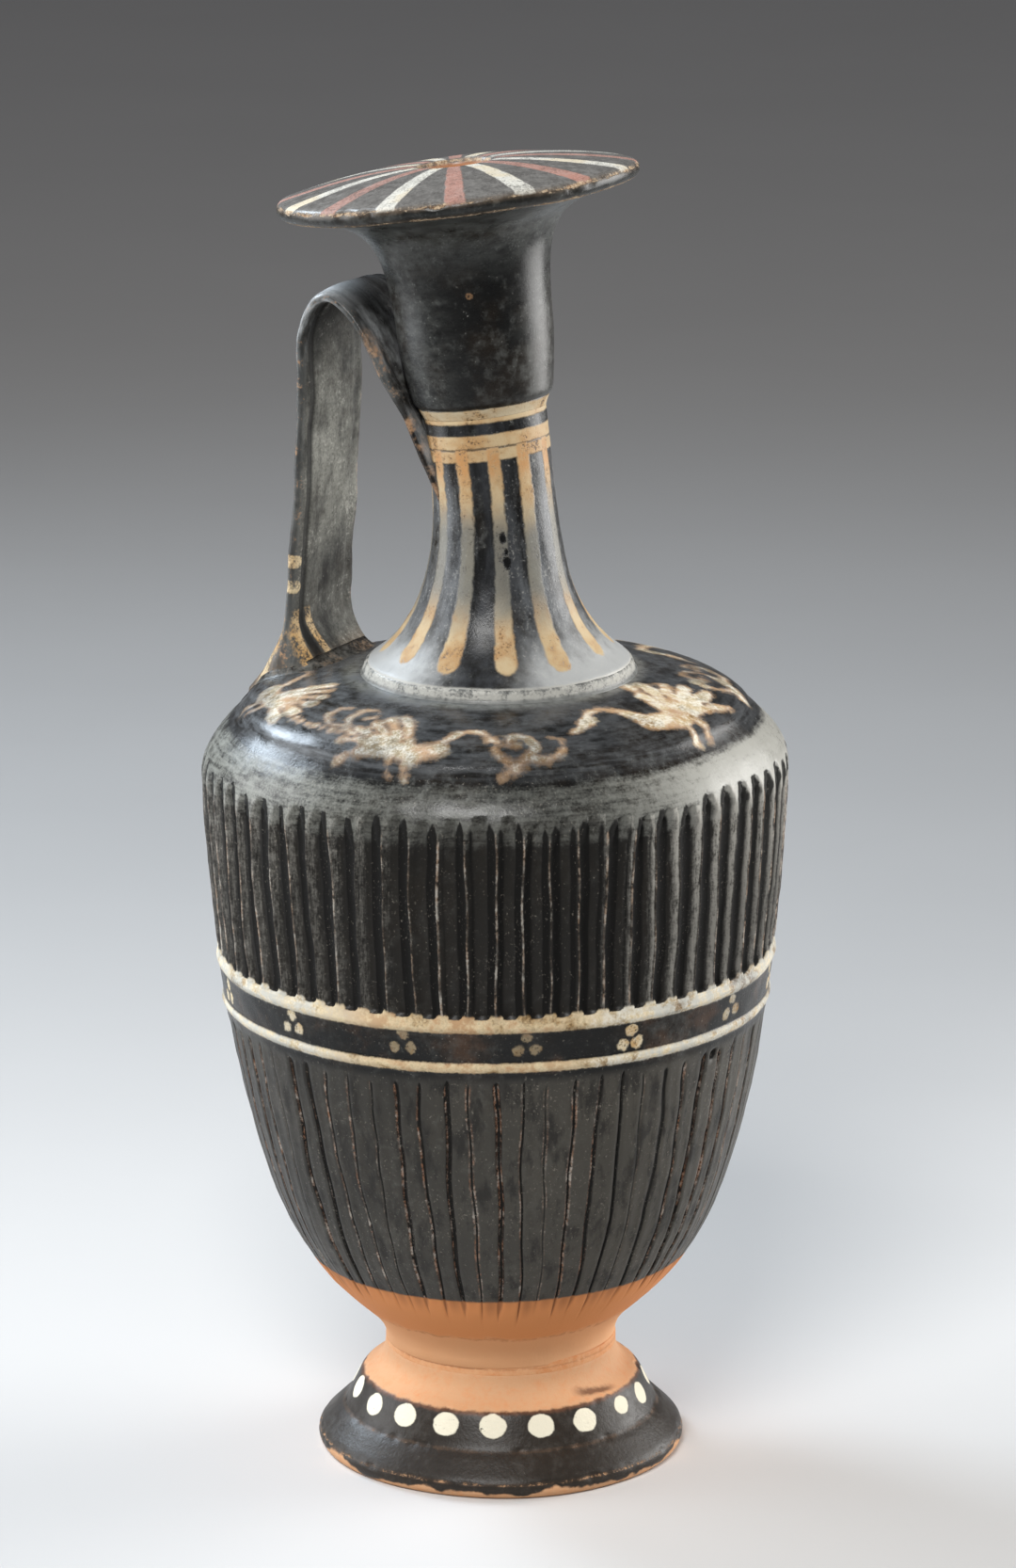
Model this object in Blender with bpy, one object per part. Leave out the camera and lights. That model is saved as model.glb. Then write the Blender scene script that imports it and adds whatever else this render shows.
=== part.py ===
"""Shoulder lekythos: a ribbed oil flask of five thrown or pulled clay pieces, luted together with slip.

Metres, +Z up, origin at the centre of the foot on the surface that it stands on.
The near side of the flask faces -Y, and its strap handle stands at the back left.
"""

import math

import bmesh
import bpy
from mathutils import Matrix, Vector
from mathutils.geometry import interpolate_bezier

# Joints
LUTING = 0.0008  # thickness of the slip between two pieces
GAP = 0.0003  # clearance on each side of the slip
JOINT = LUTING + 2 * GAP  # distance between two luted pieces

# Foot
FOOT_RADIUS = 0.0305
FOOT_EDGE_HEIGHT = 0.0026  # height of the widest ring
FOOT_EDGE_ROUND = 0.0010  # how far the edge draws in to the ground
FOOT_STEP_RADIUS = 0.0262
FOOT_STEP_HEIGHT = 0.0067  # ridge between the two steps
FOOT_RIDGE = 0.0007  # how far the ridge stands out from the upper step
FOOT_TOP_RADIUS = 0.0229
FOOT_TOP_HEIGHT = 0.0125
STEM_RADIUS = 0.0191
STEM_HEIGHT = 0.0175  # the foot's joint with the body
FOOT_HOLLOW_RADIUS = 0.0215
FOOT_HOLLOW_DEPTH = 0.0080

# Body
BODY_LEAN = math.radians(0.6)  # towards -X
BODY_WALL = 0.0038
BODY_FLOOR = 0.0060
WAIST_RADIUS = 0.03465  # where the stem's hollow curve turns into the belly
WAIST_RISE = 0.0206  # above the body's base
WAIST_SLOPE = math.radians(62.5)
BELLY_RADIUS = 0.0477
BELLY_RISE = 0.0971
SHOULDER_RISE = 0.1130  # the neck's seat, above the body's base
SHOULDER_EDGE = 0.0105  # how far the rounded edge reaches up from the belly
SHOULDER_OPENING = 0.0135

# Ribs and belt
FLUTE_COUNT = 66
UPPER_FLUTE_DEPTH = 0.0009
LOWER_FLUTE_DEPTH = 0.0005
UPPER_FLUTE_REACH = 0.0028  # above the belly's widest ring
LOWER_FLUTE_RISE = 0.0131  # lower ends, above the body's base
FLUTE_END = 0.0030  # length over which a flute runs out
BELT_RISE = 0.0627  # middle of the belt, above the body's base
BELT_SPACING = 0.0068  # between its two raised lines
BELT_LINE_WIDTH = 0.0017
BELT_LINE_HEIGHT = 0.0004

# Neck
NECK_OFFSET = 0.0009  # the neck is set this far off the body's axis, towards +X
NECK_BASE_RADIUS = 0.0215
NECK_BASE_EDGE = 0.0007
NECK_RADIUS = 0.00985
NECK_FLARE_HEIGHT = 0.0310
NECK_LENGTH = 0.0417
NECK_BORE = 0.0064
BEND_START = 0.0170
BEND_END = 0.0330
NECK_BEND = math.radians(7.3)
BEND_TURN = math.radians(149)  # direction of the bend, from +X

# Mouth
MOUTH_BASE_RADIUS = 0.0106
MOUTH_LEDGE = 0.0009  # how far the mouth stands out over its base
MOUTH_LEDGE_HEIGHT = 0.0019
MOUTH_WAIST_RADIUS = 0.0127
MOUTH_WAIST_HEIGHT = 0.0139
MOUTH_WALL = 0.0036
MOUTH_HOLE = 0.0055
DISC_RADIUS = 0.0295
DISC_HEIGHT = 0.0332  # underside of the rim, above the mouth's base
DISC_RIM = 0.0023
DISC_CROWN = 0.0030  # rise of the disc's top from the rim to the hole

# Handle
HANDLE_TURN = math.radians(150)  # direction of the handle, from +X
HANDLE_WIDTH = 0.0190
HANDLE_THICKNESS = 0.0028
HANDLE_HOLLOW = 0.0004  # depth of the groove along its inner face
HANDLE_DROP = 0.0010  # its joint with the neck, below the mouth
HANDLE_ARCH_REACH = 0.0250
HANDLE_ARCH_RISE = 0.0177  # above the neck's top
HANDLE_REACH = 0.0301
HANDLE_ROOT_REACH = 0.0345
HANDLE_ROOT_FLARE = 0.0076  # how far the root spreads on each side
HANDLE_ROOT_HEIGHT = 0.0105  # where the root begins to spread, above the shoulder
HANDLE_SLOPE = math.radians(63)  # of the branch that rises from the neck
LUTING_SPREAD = 0.0008  # how far the slip shows round the handle's ends

# Fineness of the meshes
TURNED_SIDES = 48
HANDLE_SIDES = 16
HANDLE_STEPS = 12

SHOULDER_SEAT = NECK_BASE_RADIUS + 0.5 * LUTING
BELT_LINE_RISES = (BELT_RISE - BELT_SPACING / 2, BELT_RISE + BELT_SPACING / 2)

for old in list(bpy.data.objects):
    bpy.data.objects.remove(old)


def material(name, colour, roughness):
    made = bpy.data.materials.new(name)
    made.use_nodes = True
    shader = made.node_tree.nodes["Principled BSDF"]
    shader.inputs["Base Color"].default_value = (*colour, 1.0)
    shader.inputs["Roughness"].default_value = roughness
    shader.inputs["Metallic"].default_value = 0.0
    return made


def empty(name, parent=None, matrix=None):
    """An axis that the pieces above it are set on."""
    made = bpy.data.objects.new(name, None)
    made.empty_display_size = NECK_RADIUS
    made.parent = parent
    made.matrix_local = matrix or Matrix()
    bpy.context.collection.objects.link(made)
    return made


def solid(name, shape, finish, parent, height=0.0):
    """One object from a bmesh, facing out and shaded smooth, standing at a height on its parent's axis."""
    made = bpy.data.objects.new(name, bpy.data.meshes.new(name))
    bmesh.ops.recalc_face_normals(shape, faces=shape.faces)
    shape.to_mesh(made.data)
    shape.free()
    made.data.shade_smooth()
    made.data.set_sharp_from_angle(angle=math.radians(35))
    made.data.materials.append(finish)
    made.parent = parent
    made.location.z = height
    bpy.context.collection.objects.link(made)
    return made


def bezier(start, leave, arrive, end, steps):
    """Points (radius, height) of one Bezier stretch, without its first point."""
    knots = [Vector(point) for point in (start, leave, arrive, end)]
    return [tuple(point) for point in interpolate_bezier(*knots, steps + 1)[1:]]


def upright(radius, height, angle):
    return Vector((radius * math.cos(angle), radius * math.sin(angle), height))


def ring(mesh, radii, height, place=upright):
    """Vertices round the axis, one for each radius; a single zero radius lies on the axis."""
    count = len(radii)
    return [mesh.verts.new(place(radius, height, math.tau * i / count)) for i, radius in enumerate(radii)]


def skin(mesh, first, second):
    """Faces between two rings. The longer has a whole multiple of the other's vertices."""
    if len(first) < len(second):
        first, second = second, first
    share = len(first) // len(second)
    for i, vertex in enumerate(first):
        following = first[(i + 1) % len(first)]
        near = second[((i + share // 2) // share) % len(second)]
        far = second[((i + 1 + share // 2) // share) % len(second)]
        mesh.faces.new([vertex, following, near] if near is far else [vertex, following, far, near])


def skin_all(mesh, rings, closed):
    """Faces along a chain of rings, which ends in two poles or joins up again."""
    for first, second in zip(rings, rings[1:] + rings[:1] if closed else rings[1:]):
        skin(mesh, first, second)


def turned(outline, place=upright, sides=TURNED_SIDES):
    """A body turned from (radius, height) points. An outline that starts on the axis ends on it too."""
    mesh = bmesh.new()
    rings = [ring(mesh, [radius] * (sides if radius else 1), height, place) for radius, height in outline]
    skin_all(mesh, rings, closed=outline[0][0] > 0)
    return mesh


def offset(outline, distance):
    """The outline moved out from its own surface; it runs upwards, with the axis on its left."""
    moved = []
    for i, (radius, height) in enumerate(outline):
        before = outline[max(i - 1, 0)]
        after = outline[min(i + 1, len(outline) - 1)]
        along = Vector((after[0] - before[0], after[1] - before[1])).normalized()
        moved.append((radius + distance * along.y, height - distance * along.x))
    return moved


def cutter(name, outline, parent, height=0.0, place=upright, sides=TURNED_SIDES):
    """A hidden solid, closed on the axis at both ends, that cuts a clearance."""
    ends = (0.0, outline[0][1]), (0.0, outline[-1][1])
    made = solid(name, turned([ends[0], *outline, ends[1]], place, sides), slip, parent, height)
    made.hide_render = True
    made.display_type = "WIRE"
    return made


def cut(target, operation, tool):
    boolean = target.modifiers.new(f"{operation.lower()} {tool.name}", "BOOLEAN")
    boolean.operation = operation
    boolean.object = tool


# Foot: turned apart from the body, in two steps over a hollow underside.
def foot_outline():
    stem_rise = STEM_HEIGHT - FOOT_TOP_HEIGHT
    stem = (STEM_RADIUS, STEM_HEIGHT)
    top_edge = (FOOT_TOP_RADIUS, FOOT_TOP_HEIGHT)
    rest_radius = FOOT_RADIUS - FOOT_EDGE_ROUND
    outline = [(0.0, STEM_HEIGHT), stem]
    outline += bezier(
        stem,
        (STEM_RADIUS, STEM_HEIGHT - 0.6 * stem_rise),
        (FOOT_TOP_RADIUS - 0.6 * (FOOT_TOP_RADIUS - STEM_RADIUS), FOOT_TOP_HEIGHT + 0.15 * stem_rise),
        top_edge,
        4,
    )
    outline += [
        (FOOT_STEP_RADIUS - FOOT_RIDGE, FOOT_STEP_HEIGHT + FOOT_RIDGE),
        (FOOT_STEP_RADIUS, FOOT_STEP_HEIGHT),
    ]
    widest = (FOOT_RADIUS, FOOT_EDGE_HEIGHT)
    outline += [widest]
    outline += bezier(
        widest,
        (FOOT_RADIUS, 0.45 * FOOT_EDGE_HEIGHT),
        (FOOT_RADIUS - 0.3 * FOOT_EDGE_ROUND, 0.15 * FOOT_EDGE_HEIGHT),
        (rest_radius, 0.0),
        3,
    )
    hollow_edge = (FOOT_HOLLOW_RADIUS, 0.0)
    outline += [hollow_edge]
    outline += bezier(
        hollow_edge,
        (0.9 * FOOT_HOLLOW_RADIUS, 0.7 * FOOT_HOLLOW_DEPTH),
        (0.4 * FOOT_HOLLOW_RADIUS, FOOT_HOLLOW_DEPTH),
        (0.0, FOOT_HOLLOW_DEPTH),
        4,
    )
    return outline


# Body: thrown in one with its shoulder. Heights count from the joint with the foot.
def belly_outline(steps):
    """Plain outline from the stem to the widest ring."""
    stem = Vector((STEM_RADIUS, 0.0))
    waist = Vector((WAIST_RADIUS, WAIST_RISE))
    belly = Vector((BELLY_RADIUS, BELLY_RISE))
    slope = Vector((math.cos(WAIST_SLOPE), math.sin(WAIST_SLOPE)))
    stem_pull = 0.29 * WAIST_RISE
    belly_pull = 0.18 * (BELLY_RISE - WAIST_RISE)
    out_pull = WAIST_RADIUS - STEM_RADIUS
    up_pull = 0.27 * (BELLY_RISE - WAIST_RISE)
    lower = bezier(stem, stem + Vector((0, stem_pull)), waist - out_pull * slope, waist, steps)
    upper = bezier(waist, waist + up_pull * slope, belly - Vector((0, belly_pull)), belly, steps)
    return [tuple(stem), *lower, *upper]


def shoulder_outline(steps):
    """From the widest ring over the rounded edge and along the domed top to the neck's seat."""
    belly = (BELLY_RADIUS, BELLY_RISE)
    turn = (BELLY_RADIUS - 0.62 * SHOULDER_EDGE, BELLY_RISE + SHOULDER_EDGE)
    seat = (SHOULDER_SEAT, SHOULDER_RISE)
    dome = Vector(seat) - Vector(turn)
    edge = bezier(
        belly,
        (BELLY_RADIUS, BELLY_RISE + 0.55 * SHOULDER_EDGE),
        (turn[0] + 0.14 * SHOULDER_EDGE, turn[1] - 0.22 * SHOULDER_EDGE),
        turn,
        steps,
    )
    top = bezier(
        turn,
        (turn[0] - 0.14 * SHOULDER_EDGE, turn[1] + 0.22 * SHOULDER_EDGE),
        (seat[0] - 0.45 * dome.x, seat[1] - 0.10 * dome.y),
        seat,
        steps,
    )
    return [belly, *edge, *top]


def radius_at(outline, height):
    """Radius of an outline that runs upwards, at a height."""
    for (radius, low), (next_radius, high) in zip(outline, outline[1:]):
        if height <= high:
            return radius + (next_radius - radius) * (height - low) / (high - low)
    return outline[-1][0]


def height_at(outline, radius):
    """Height of an outline that runs inwards, at a radius."""
    for (outer, height), (inner, next_height) in zip(outline, outline[1:]):
        if inner <= radius:
            return height + (next_height - height) * (outer - radius) / (outer - inner)
    return outline[-1][1]


def body_mesh():
    mesh = bmesh.new()
    plain = belly_outline(24) + shoulder_outline(12)[1:]
    upper_top = BELLY_RISE + UPPER_FLUTE_REACH
    belt_low = BELT_LINE_RISES[0] - BELT_LINE_WIDTH
    belt_high = BELT_LINE_RISES[1] + BELT_LINE_WIDTH
    rings = [ring(mesh, [0.0], 0.0)]

    def plain_ring(height, swell=0.0):
        rings.append(ring(mesh, [radius_at(plain, height) + swell] * FLUTE_COUNT, height))

    def fluted_zone(low, high, depth, steps):
        """Rings whose vertices lie in turn on a rib and in a flute, with the flutes run out at both ends."""
        rib_heights = [low + FLUTE_END + (high - low - 2 * FLUTE_END) * i / steps for i in range(steps + 1)]
        plain_ring(low)
        for height in rib_heights:
            rib = radius_at(plain, height)
            rings.append(ring(mesh, [rib, rib - depth] * FLUTE_COUNT, height))
        plain_ring(high)

    for share in (0.0, 0.35, 0.7):
        plain_ring(share * LOWER_FLUTE_RISE)
    fluted_zone(LOWER_FLUTE_RISE, belt_low, LOWER_FLUTE_DEPTH, 5)
    for line in BELT_LINE_RISES:
        for side, swell in ((-0.5, 0.0), (-0.25, BELT_LINE_HEIGHT), (0.25, BELT_LINE_HEIGHT), (0.5, 0.0)):
            plain_ring(line + side * BELT_LINE_WIDTH, swell)
    fluted_zone(belt_high, upper_top, UPPER_FLUTE_DEPTH, 3)
    for radius, height in shoulder_outline(5):
        if height > upper_top:
            rings.append(ring(mesh, [radius] * FLUTE_COUNT, height))

    floor_radius = radius_at(plain, BODY_FLOOR) - BODY_WALL
    under_shoulder = offset(shoulder_outline(5), -BODY_WALL)
    wall_heights = [BODY_FLOOR + (BELLY_RISE - BODY_FLOOR) * share for share in (0.06, 0.2, 0.4, 0.65, 1.0)]
    inside = [(0.0, BODY_FLOOR), (0.6 * floor_radius, BODY_FLOOR)]
    inside += [(radius_at(plain, height) - BODY_WALL, height) for height in wall_heights]
    inside += under_shoulder[1:-1]
    inside += [(SHOULDER_OPENING, SHOULDER_RISE - BODY_WALL), (SHOULDER_OPENING, SHOULDER_RISE)]
    for radius, height in reversed(inside):
        rings.append(ring(mesh, [radius] * (FLUTE_COUNT if radius else 1), height))
    skin_all(mesh, rings, closed=False)
    return mesh


# Neck: thrown as a flared tube, and bent a little to one side in the drying.
def neck_matrix(height):
    """Place and tilt of the neck's axis at a length along it."""
    turn = NECK_BEND * min(max((height - BEND_START) / (BEND_END - BEND_START), 0.0), 1.0)
    bend_radius = (BEND_END - BEND_START) / NECK_BEND
    beyond = max(height - BEND_END, 0.0)
    aside = bend_radius * (1 - math.cos(turn)) + beyond * math.sin(turn)
    rise = min(height, BEND_START) + bend_radius * math.sin(turn) + beyond * math.cos(turn)
    towards = Matrix.Rotation(BEND_TURN, 4, "Z")
    return towards @ Matrix.Translation((aside, 0, rise)) @ Matrix.Rotation(turn, 4, "Y") @ towards.inverted()


def bent(radius, height, angle):
    return neck_matrix(height) @ upright(radius, 0.0, angle)


def neck_outline():
    """Outer side, upwards."""
    edge = (NECK_BASE_RADIUS, NECK_BASE_EDGE)
    flare = NECK_FLARE_HEIGHT - NECK_BASE_EDGE
    drawn = NECK_BASE_RADIUS - NECK_RADIUS
    outline = [(NECK_BASE_RADIUS, 0.0), edge]
    outline += bezier(
        edge,
        (NECK_BASE_RADIUS - 0.67 * drawn, NECK_BASE_EDGE + 0.16 * flare),
        (NECK_RADIUS, NECK_BASE_EDGE + 0.43 * flare),
        (NECK_RADIUS, NECK_FLARE_HEIGHT),
        8,
    )
    outline += [(NECK_RADIUS, NECK_LENGTH)]
    return outline


def neck_bore():
    """Inner side, downwards."""
    throat = (NECK_BORE, 0.55 * NECK_FLARE_HEIGHT)
    outline = [(NECK_BORE, NECK_LENGTH), (NECK_BORE, NECK_FLARE_HEIGHT), throat]
    outline += bezier(
        throat,
        (NECK_BORE, 0.3 * NECK_FLARE_HEIGHT),
        (SHOULDER_OPENING, 0.2 * NECK_FLARE_HEIGHT),
        (SHOULDER_OPENING, 0.0),
        4,
    )
    return outline


# Mouth: a trumpet with a wide disc lip, thrown apart and set on the neck.
def mouth_outline():
    """Outer side, upwards from the base to the underside of the rim."""
    ledge = (MOUTH_BASE_RADIUS + MOUTH_LEDGE, MOUTH_LEDGE_HEIGHT)
    waist = (MOUTH_WAIST_RADIUS, MOUTH_WAIST_HEIGHT)
    rim = (DISC_RADIUS - 0.5 * DISC_RIM, DISC_HEIGHT)
    flare = DISC_HEIGHT - MOUTH_WAIST_HEIGHT
    spread = rim[0] - waist[0]
    outline = [(MOUTH_BASE_RADIUS, 0.0)]
    outline += bezier(
        outline[0],
        (MOUTH_BASE_RADIUS + 0.6 * MOUTH_LEDGE, 0.1 * MOUTH_LEDGE_HEIGHT),
        (ledge[0] - 0.1 * MOUTH_LEDGE, 0.5 * MOUTH_LEDGE_HEIGHT),
        ledge,
        3,
    )
    outline += bezier(
        ledge,
        (ledge[0] + 0.4 * (waist[0] - ledge[0]), ledge[1] + 0.25 * (waist[1] - ledge[1])),
        (waist[0] - 0.05 * (waist[0] - ledge[0]), ledge[1] + 0.6 * (waist[1] - ledge[1])),
        waist,
        3,
    )
    outline += bezier(
        waist,
        (waist[0] + 0.03 * spread, waist[1] + 0.80 * flare),
        (waist[0] + 0.20 * spread, waist[1] + 0.90 * flare),
        rim,
        8,
    )
    return outline


def mouth_section():
    """The whole section: outer side, rim, crowned top, hole and inside."""
    outer = mouth_outline()
    rim_top = (DISC_RADIUS - 0.4 * DISC_RIM, DISC_HEIGHT + DISC_RIM)
    rim = bezier(
        outer[-1],
        (DISC_RADIUS, DISC_HEIGHT + 0.15 * DISC_RIM),
        (DISC_RADIUS + 0.1 * DISC_RIM, DISC_HEIGHT + 0.8 * DISC_RIM),
        rim_top,
        3,
    )
    crown_height = rim_top[1] + DISC_CROWN
    hole_round = 0.25 * MOUTH_WALL
    crown_edge = (MOUTH_HOLE + hole_round, crown_height)
    reach = rim_top[0] - crown_edge[0]
    crown = bezier(
        rim_top,
        (rim_top[0] - 0.33 * reach, rim_top[1] + 0.62 * DISC_CROWN),
        (rim_top[0] - 0.66 * reach, crown_height),
        crown_edge,
        5,
    )
    hole = [(MOUTH_HOLE, crown_height - hole_round), (MOUTH_HOLE, crown_height - MOUTH_WALL)]
    waist_bore = MOUTH_WAIST_RADIUS - MOUTH_WALL
    roof = (waist_bore, crown_height - 1.5 * MOUTH_WALL)
    inside = [roof, (waist_bore, MOUTH_WAIST_HEIGHT), (NECK_BORE, 0.0)]
    return outer + rim + crown + hole + inside


# Handle: a pulled strap, in the upright plane that its direction gives.
def handle_route(ledge_height):
    """Points (reach, height) along the middle of the strap, from inside the neck to inside the shoulder."""
    outward = upright(1.0, 0.0, HANDLE_TURN)
    set_off = Vector((NECK_OFFSET, 0.0, 0.0))
    lute_length = NECK_LENGTH - HANDLE_DROP
    lute_reach = (neck_matrix(lute_length).translation + set_off).dot(outward) + NECK_RADIUS
    lute = Vector((lute_reach, ledge_height - HANDLE_DROP))
    rise = Vector((math.cos(HANDLE_SLOPE), math.sin(HANDLE_SLOPE)))
    arch = Vector((HANDLE_ARCH_REACH, ledge_height + HANDLE_ARCH_RISE))
    bend = HANDLE_REACH - HANDLE_ARCH_REACH
    elbow = Vector((HANDLE_REACH, arch.y - 1.6 * bend))
    root = Vector((HANDLE_ROOT_REACH, height_at(shoulder_outline(12), HANDLE_ROOT_REACH)))
    drop = elbow.y - root.y
    span = arch - lute
    inside_neck = lute - rise * NECK_RADIUS / rise.x
    inside_shoulder = root - Vector((0.0, 2 * BODY_WALL))
    route = [inside_neck, lute]
    route += bezier(
        lute, lute + 0.5 * span.y * rise, arch - Vector((0.32 * span.x, 0)), arch, HANDLE_STEPS // 2
    )
    route += bezier(
        arch, arch + Vector((0.55 * bend, 0)), elbow + Vector((0, 0.7 * bend)), elbow, HANDLE_STEPS // 2
    )
    route += bezier(
        elbow,
        elbow - Vector((0, 0.35 * drop)),
        root + Vector((-0.35 * (HANDLE_ROOT_REACH - HANDLE_REACH), 0.25 * drop)),
        root,
        HANDLE_STEPS,
    )
    route += [inside_shoulder]
    return [Vector(point) for point in route]


def root_spread(height, reach):
    """How far the strap's root spreads at a height, on the side that meets the shoulder at a reach."""
    shoulder = shoulder_outline(12)
    start = height_at(shoulder, HANDLE_ROOT_REACH) + HANDLE_ROOT_HEIGHT
    share = (start - height) / (start - height_at(shoulder, reach))
    return HANDLE_ROOT_FLARE * min(max(share, 0.0), 1.0) ** 2


def strap_section(half_width, outer_half, inner_half):
    """(across, out) points of the strap's section, rounded at its edges and hollowed on its inner face."""
    points = []
    for i in range(HANDLE_SIDES):
        angle = math.tau * i / HANDLE_SIDES
        across = math.copysign(abs(math.cos(angle)) ** 0.5, math.cos(angle))
        out = math.copysign(abs(math.sin(angle)) ** 0.6, math.sin(angle))
        hollow = HANDLE_HOLLOW * (1 - across**2) if out < 0 else 0.0
        points.append((half_width * across, (outer_half if out > 0 else inner_half) * out + hollow))
    return points


def strap_mesh(route, luting=0.0):
    """The strap swept along its route, with its root flared towards the shoulder."""
    mesh = bmesh.new()
    outward = upright(1.0, 0.0, HANDLE_TURN)
    sideways = upright(1.0, 0.0, HANDLE_TURN - math.pi / 2)
    upward = Vector((0, 0, 1))
    rings = []
    for i, point in enumerate(route):
        along = (route[min(i + 1, len(route) - 1)] - route[max(i - 1, 0)]).normalized()
        face = outward * -along.y + upward * along.x
        rooted = point.x > HANDLE_ARCH_REACH
        outer_spread = root_spread(point.y, HANDLE_ROOT_REACH + HANDLE_ROOT_FLARE) if rooted else 0.0
        inner_spread = root_spread(point.y, HANDLE_ROOT_REACH - HANDLE_ROOT_FLARE) if rooted else 0.0
        half = HANDLE_THICKNESS / 2 + luting
        half_width = HANDLE_WIDTH / 2 + 0.15 * inner_spread + luting
        centre = outward * point.x + upward * point.y
        section = strap_section(half_width, half + outer_spread, half + inner_spread)
        rings.append([mesh.verts.new(centre + sideways * across + face * out) for across, out in section])
    skin_all(mesh, rings, closed=False)
    mesh.faces.new(rings[0])
    mesh.faces.new(rings[-1])
    return mesh


neck_gloss = material("neck_black_gloss", (0.022, 0.021, 0.020), 0.32)
body_gloss = material("body_black_gloss", (0.024, 0.023, 0.021), 0.36)
foot_gloss = material("foot_black_gloss", (0.030, 0.026, 0.022), 0.45)
handle_gloss = material("handle_black_gloss", (0.045, 0.044, 0.042), 0.42)
mouth_gloss = material("mouth_black_gloss", (0.035, 0.036, 0.036), 0.38)
slip = material("luting_slip", (0.60, 0.30, 0.15), 0.85)

solid("foot", turned(foot_outline()), foot_gloss, None)

stem_seat = STEM_HEIGHT + GAP
body_base = STEM_HEIGHT + JOINT
foot_slip_radius = STEM_RADIUS - GAP
foot_slip_outline = [(0.0, 0.0), (foot_slip_radius, 0.0), (foot_slip_radius, LUTING), (0.0, LUTING)]
solid("foot_luting_slip", turned(foot_slip_outline), slip, None, stem_seat)

lean = Matrix.Translation((0, 0, body_base)) @ Matrix.Rotation(-BODY_LEAN, 4, "Y")
body_axis = empty("body_axis", None, lean)
solid("body", body_mesh(), body_gloss, body_axis)

neck_slip_outline = [
    (SHOULDER_OPENING, 0.0),
    (NECK_BASE_RADIUS, 0.0),
    (NECK_BASE_RADIUS, LUTING),
    (SHOULDER_OPENING, LUTING),
]
neck_base = SHOULDER_RISE + JOINT
neck_axis = empty("neck_axis", body_axis, Matrix.Translation((NECK_OFFSET, 0, neck_base)))
solid("neck_luting_slip", turned(neck_slip_outline), slip, neck_axis, GAP - JOINT)
solid("neck", turned(neck_outline() + neck_bore(), bent), neck_gloss, neck_axis)

mouth_slip_outline = [
    (NECK_BORE, 0.0),
    (NECK_RADIUS, 0.0),
    (NECK_RADIUS, LUTING),
    (NECK_BORE, LUTING),
]
mouth_axis = empty("mouth_axis", neck_axis, neck_matrix(NECK_LENGTH))
solid("mouth_luting_slip", turned(mouth_slip_outline), slip, mouth_axis, GAP)
solid("mouth", turned(mouth_section()), mouth_gloss, mouth_axis, JOINT)

route = handle_route(neck_base + NECK_LENGTH)
handle = solid("handle", strap_mesh(route), handle_gloss, body_axis)
upper_slip = solid("handle_upper_luting_slip", strap_mesh(route[:4], LUTING_SPREAD), slip, body_axis)
lower_slip = solid("handle_lower_luting_slip", strap_mesh(route[-6:], LUTING_SPREAD), slip, body_axis)

neck_side = neck_outline() + [(NECK_RADIUS, NECK_LENGTH + JOINT)]
shoulder_side = [(BELLY_RADIUS, 0.5 * BELLY_RISE), *shoulder_outline(5)]
clearances = (
    ("handle_seat", JOINT, "DIFFERENCE", handle, handle),
    ("slip_outside", GAP + LUTING, "INTERSECT", upper_slip, lower_slip),
    ("slip_inside", GAP, "DIFFERENCE", upper_slip, lower_slip),
)
for label, distance, operation, neck_piece, shoulder_piece in clearances:
    neck_tool = cutter(f"neck_{label}", offset(neck_side, distance), neck_axis, 0.0, bent)
    cut(neck_piece, operation, neck_tool)
    shoulder_tool = cutter(
        f"shoulder_{label}", offset(shoulder_side, distance), body_axis, 0.0, upright, FLUTE_COUNT
    )
    cut(shoulder_piece, operation, shoulder_tool)
mouth_tool = cutter("mouth_clearance", offset(mouth_outline(), GAP), mouth_axis, JOINT)
cut(handle, "DIFFERENCE", mouth_tool)
cut(upper_slip, "DIFFERENCE", mouth_tool)
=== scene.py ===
"""Looks of a ribbed black-gloss oil flask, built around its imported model.

Lengths are in millimetres until a mesh is made. The near side of the flask faces -Y, and angles round it
count from there towards +X.
"""

import math

import bmesh
import bpy
import numpy as np
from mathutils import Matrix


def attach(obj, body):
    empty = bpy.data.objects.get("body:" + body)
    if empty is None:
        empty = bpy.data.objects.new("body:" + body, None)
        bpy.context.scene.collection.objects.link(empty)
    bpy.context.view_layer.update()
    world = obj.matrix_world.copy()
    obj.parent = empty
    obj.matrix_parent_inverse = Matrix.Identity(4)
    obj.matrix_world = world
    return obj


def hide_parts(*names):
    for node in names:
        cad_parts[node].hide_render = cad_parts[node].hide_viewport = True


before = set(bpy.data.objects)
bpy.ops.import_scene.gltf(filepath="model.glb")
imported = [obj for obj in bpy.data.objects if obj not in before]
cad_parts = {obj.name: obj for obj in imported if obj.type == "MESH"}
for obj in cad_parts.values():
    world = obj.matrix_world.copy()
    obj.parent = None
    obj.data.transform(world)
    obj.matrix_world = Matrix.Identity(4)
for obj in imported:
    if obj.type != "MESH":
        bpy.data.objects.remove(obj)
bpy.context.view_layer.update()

# Studio: the flask stands on a pale table. A gridded soft box lights it from the front left, a low card
# from each side and a cool gridded box from behind, and a long lens looks down on it a little.
PHOTO_WIDTH = 1080
FOCAL_PIXELS = 7097
CAMERA_PLACE = (0.0012, -1.050, 0.3964)
CAMERA_DIP = 15.12
STUDIO_GREY = (0.11, 0.11, 0.115, 1)
FLOOR_REACH = 10.0
TABLE_PALE = (0.60, 0.595, 0.59, 1)
TABLE_PALER = (0.64, 0.635, 0.63, 1)
CLAY_SHEEN = 0.25
MILLIMETRE = 0.001

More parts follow.
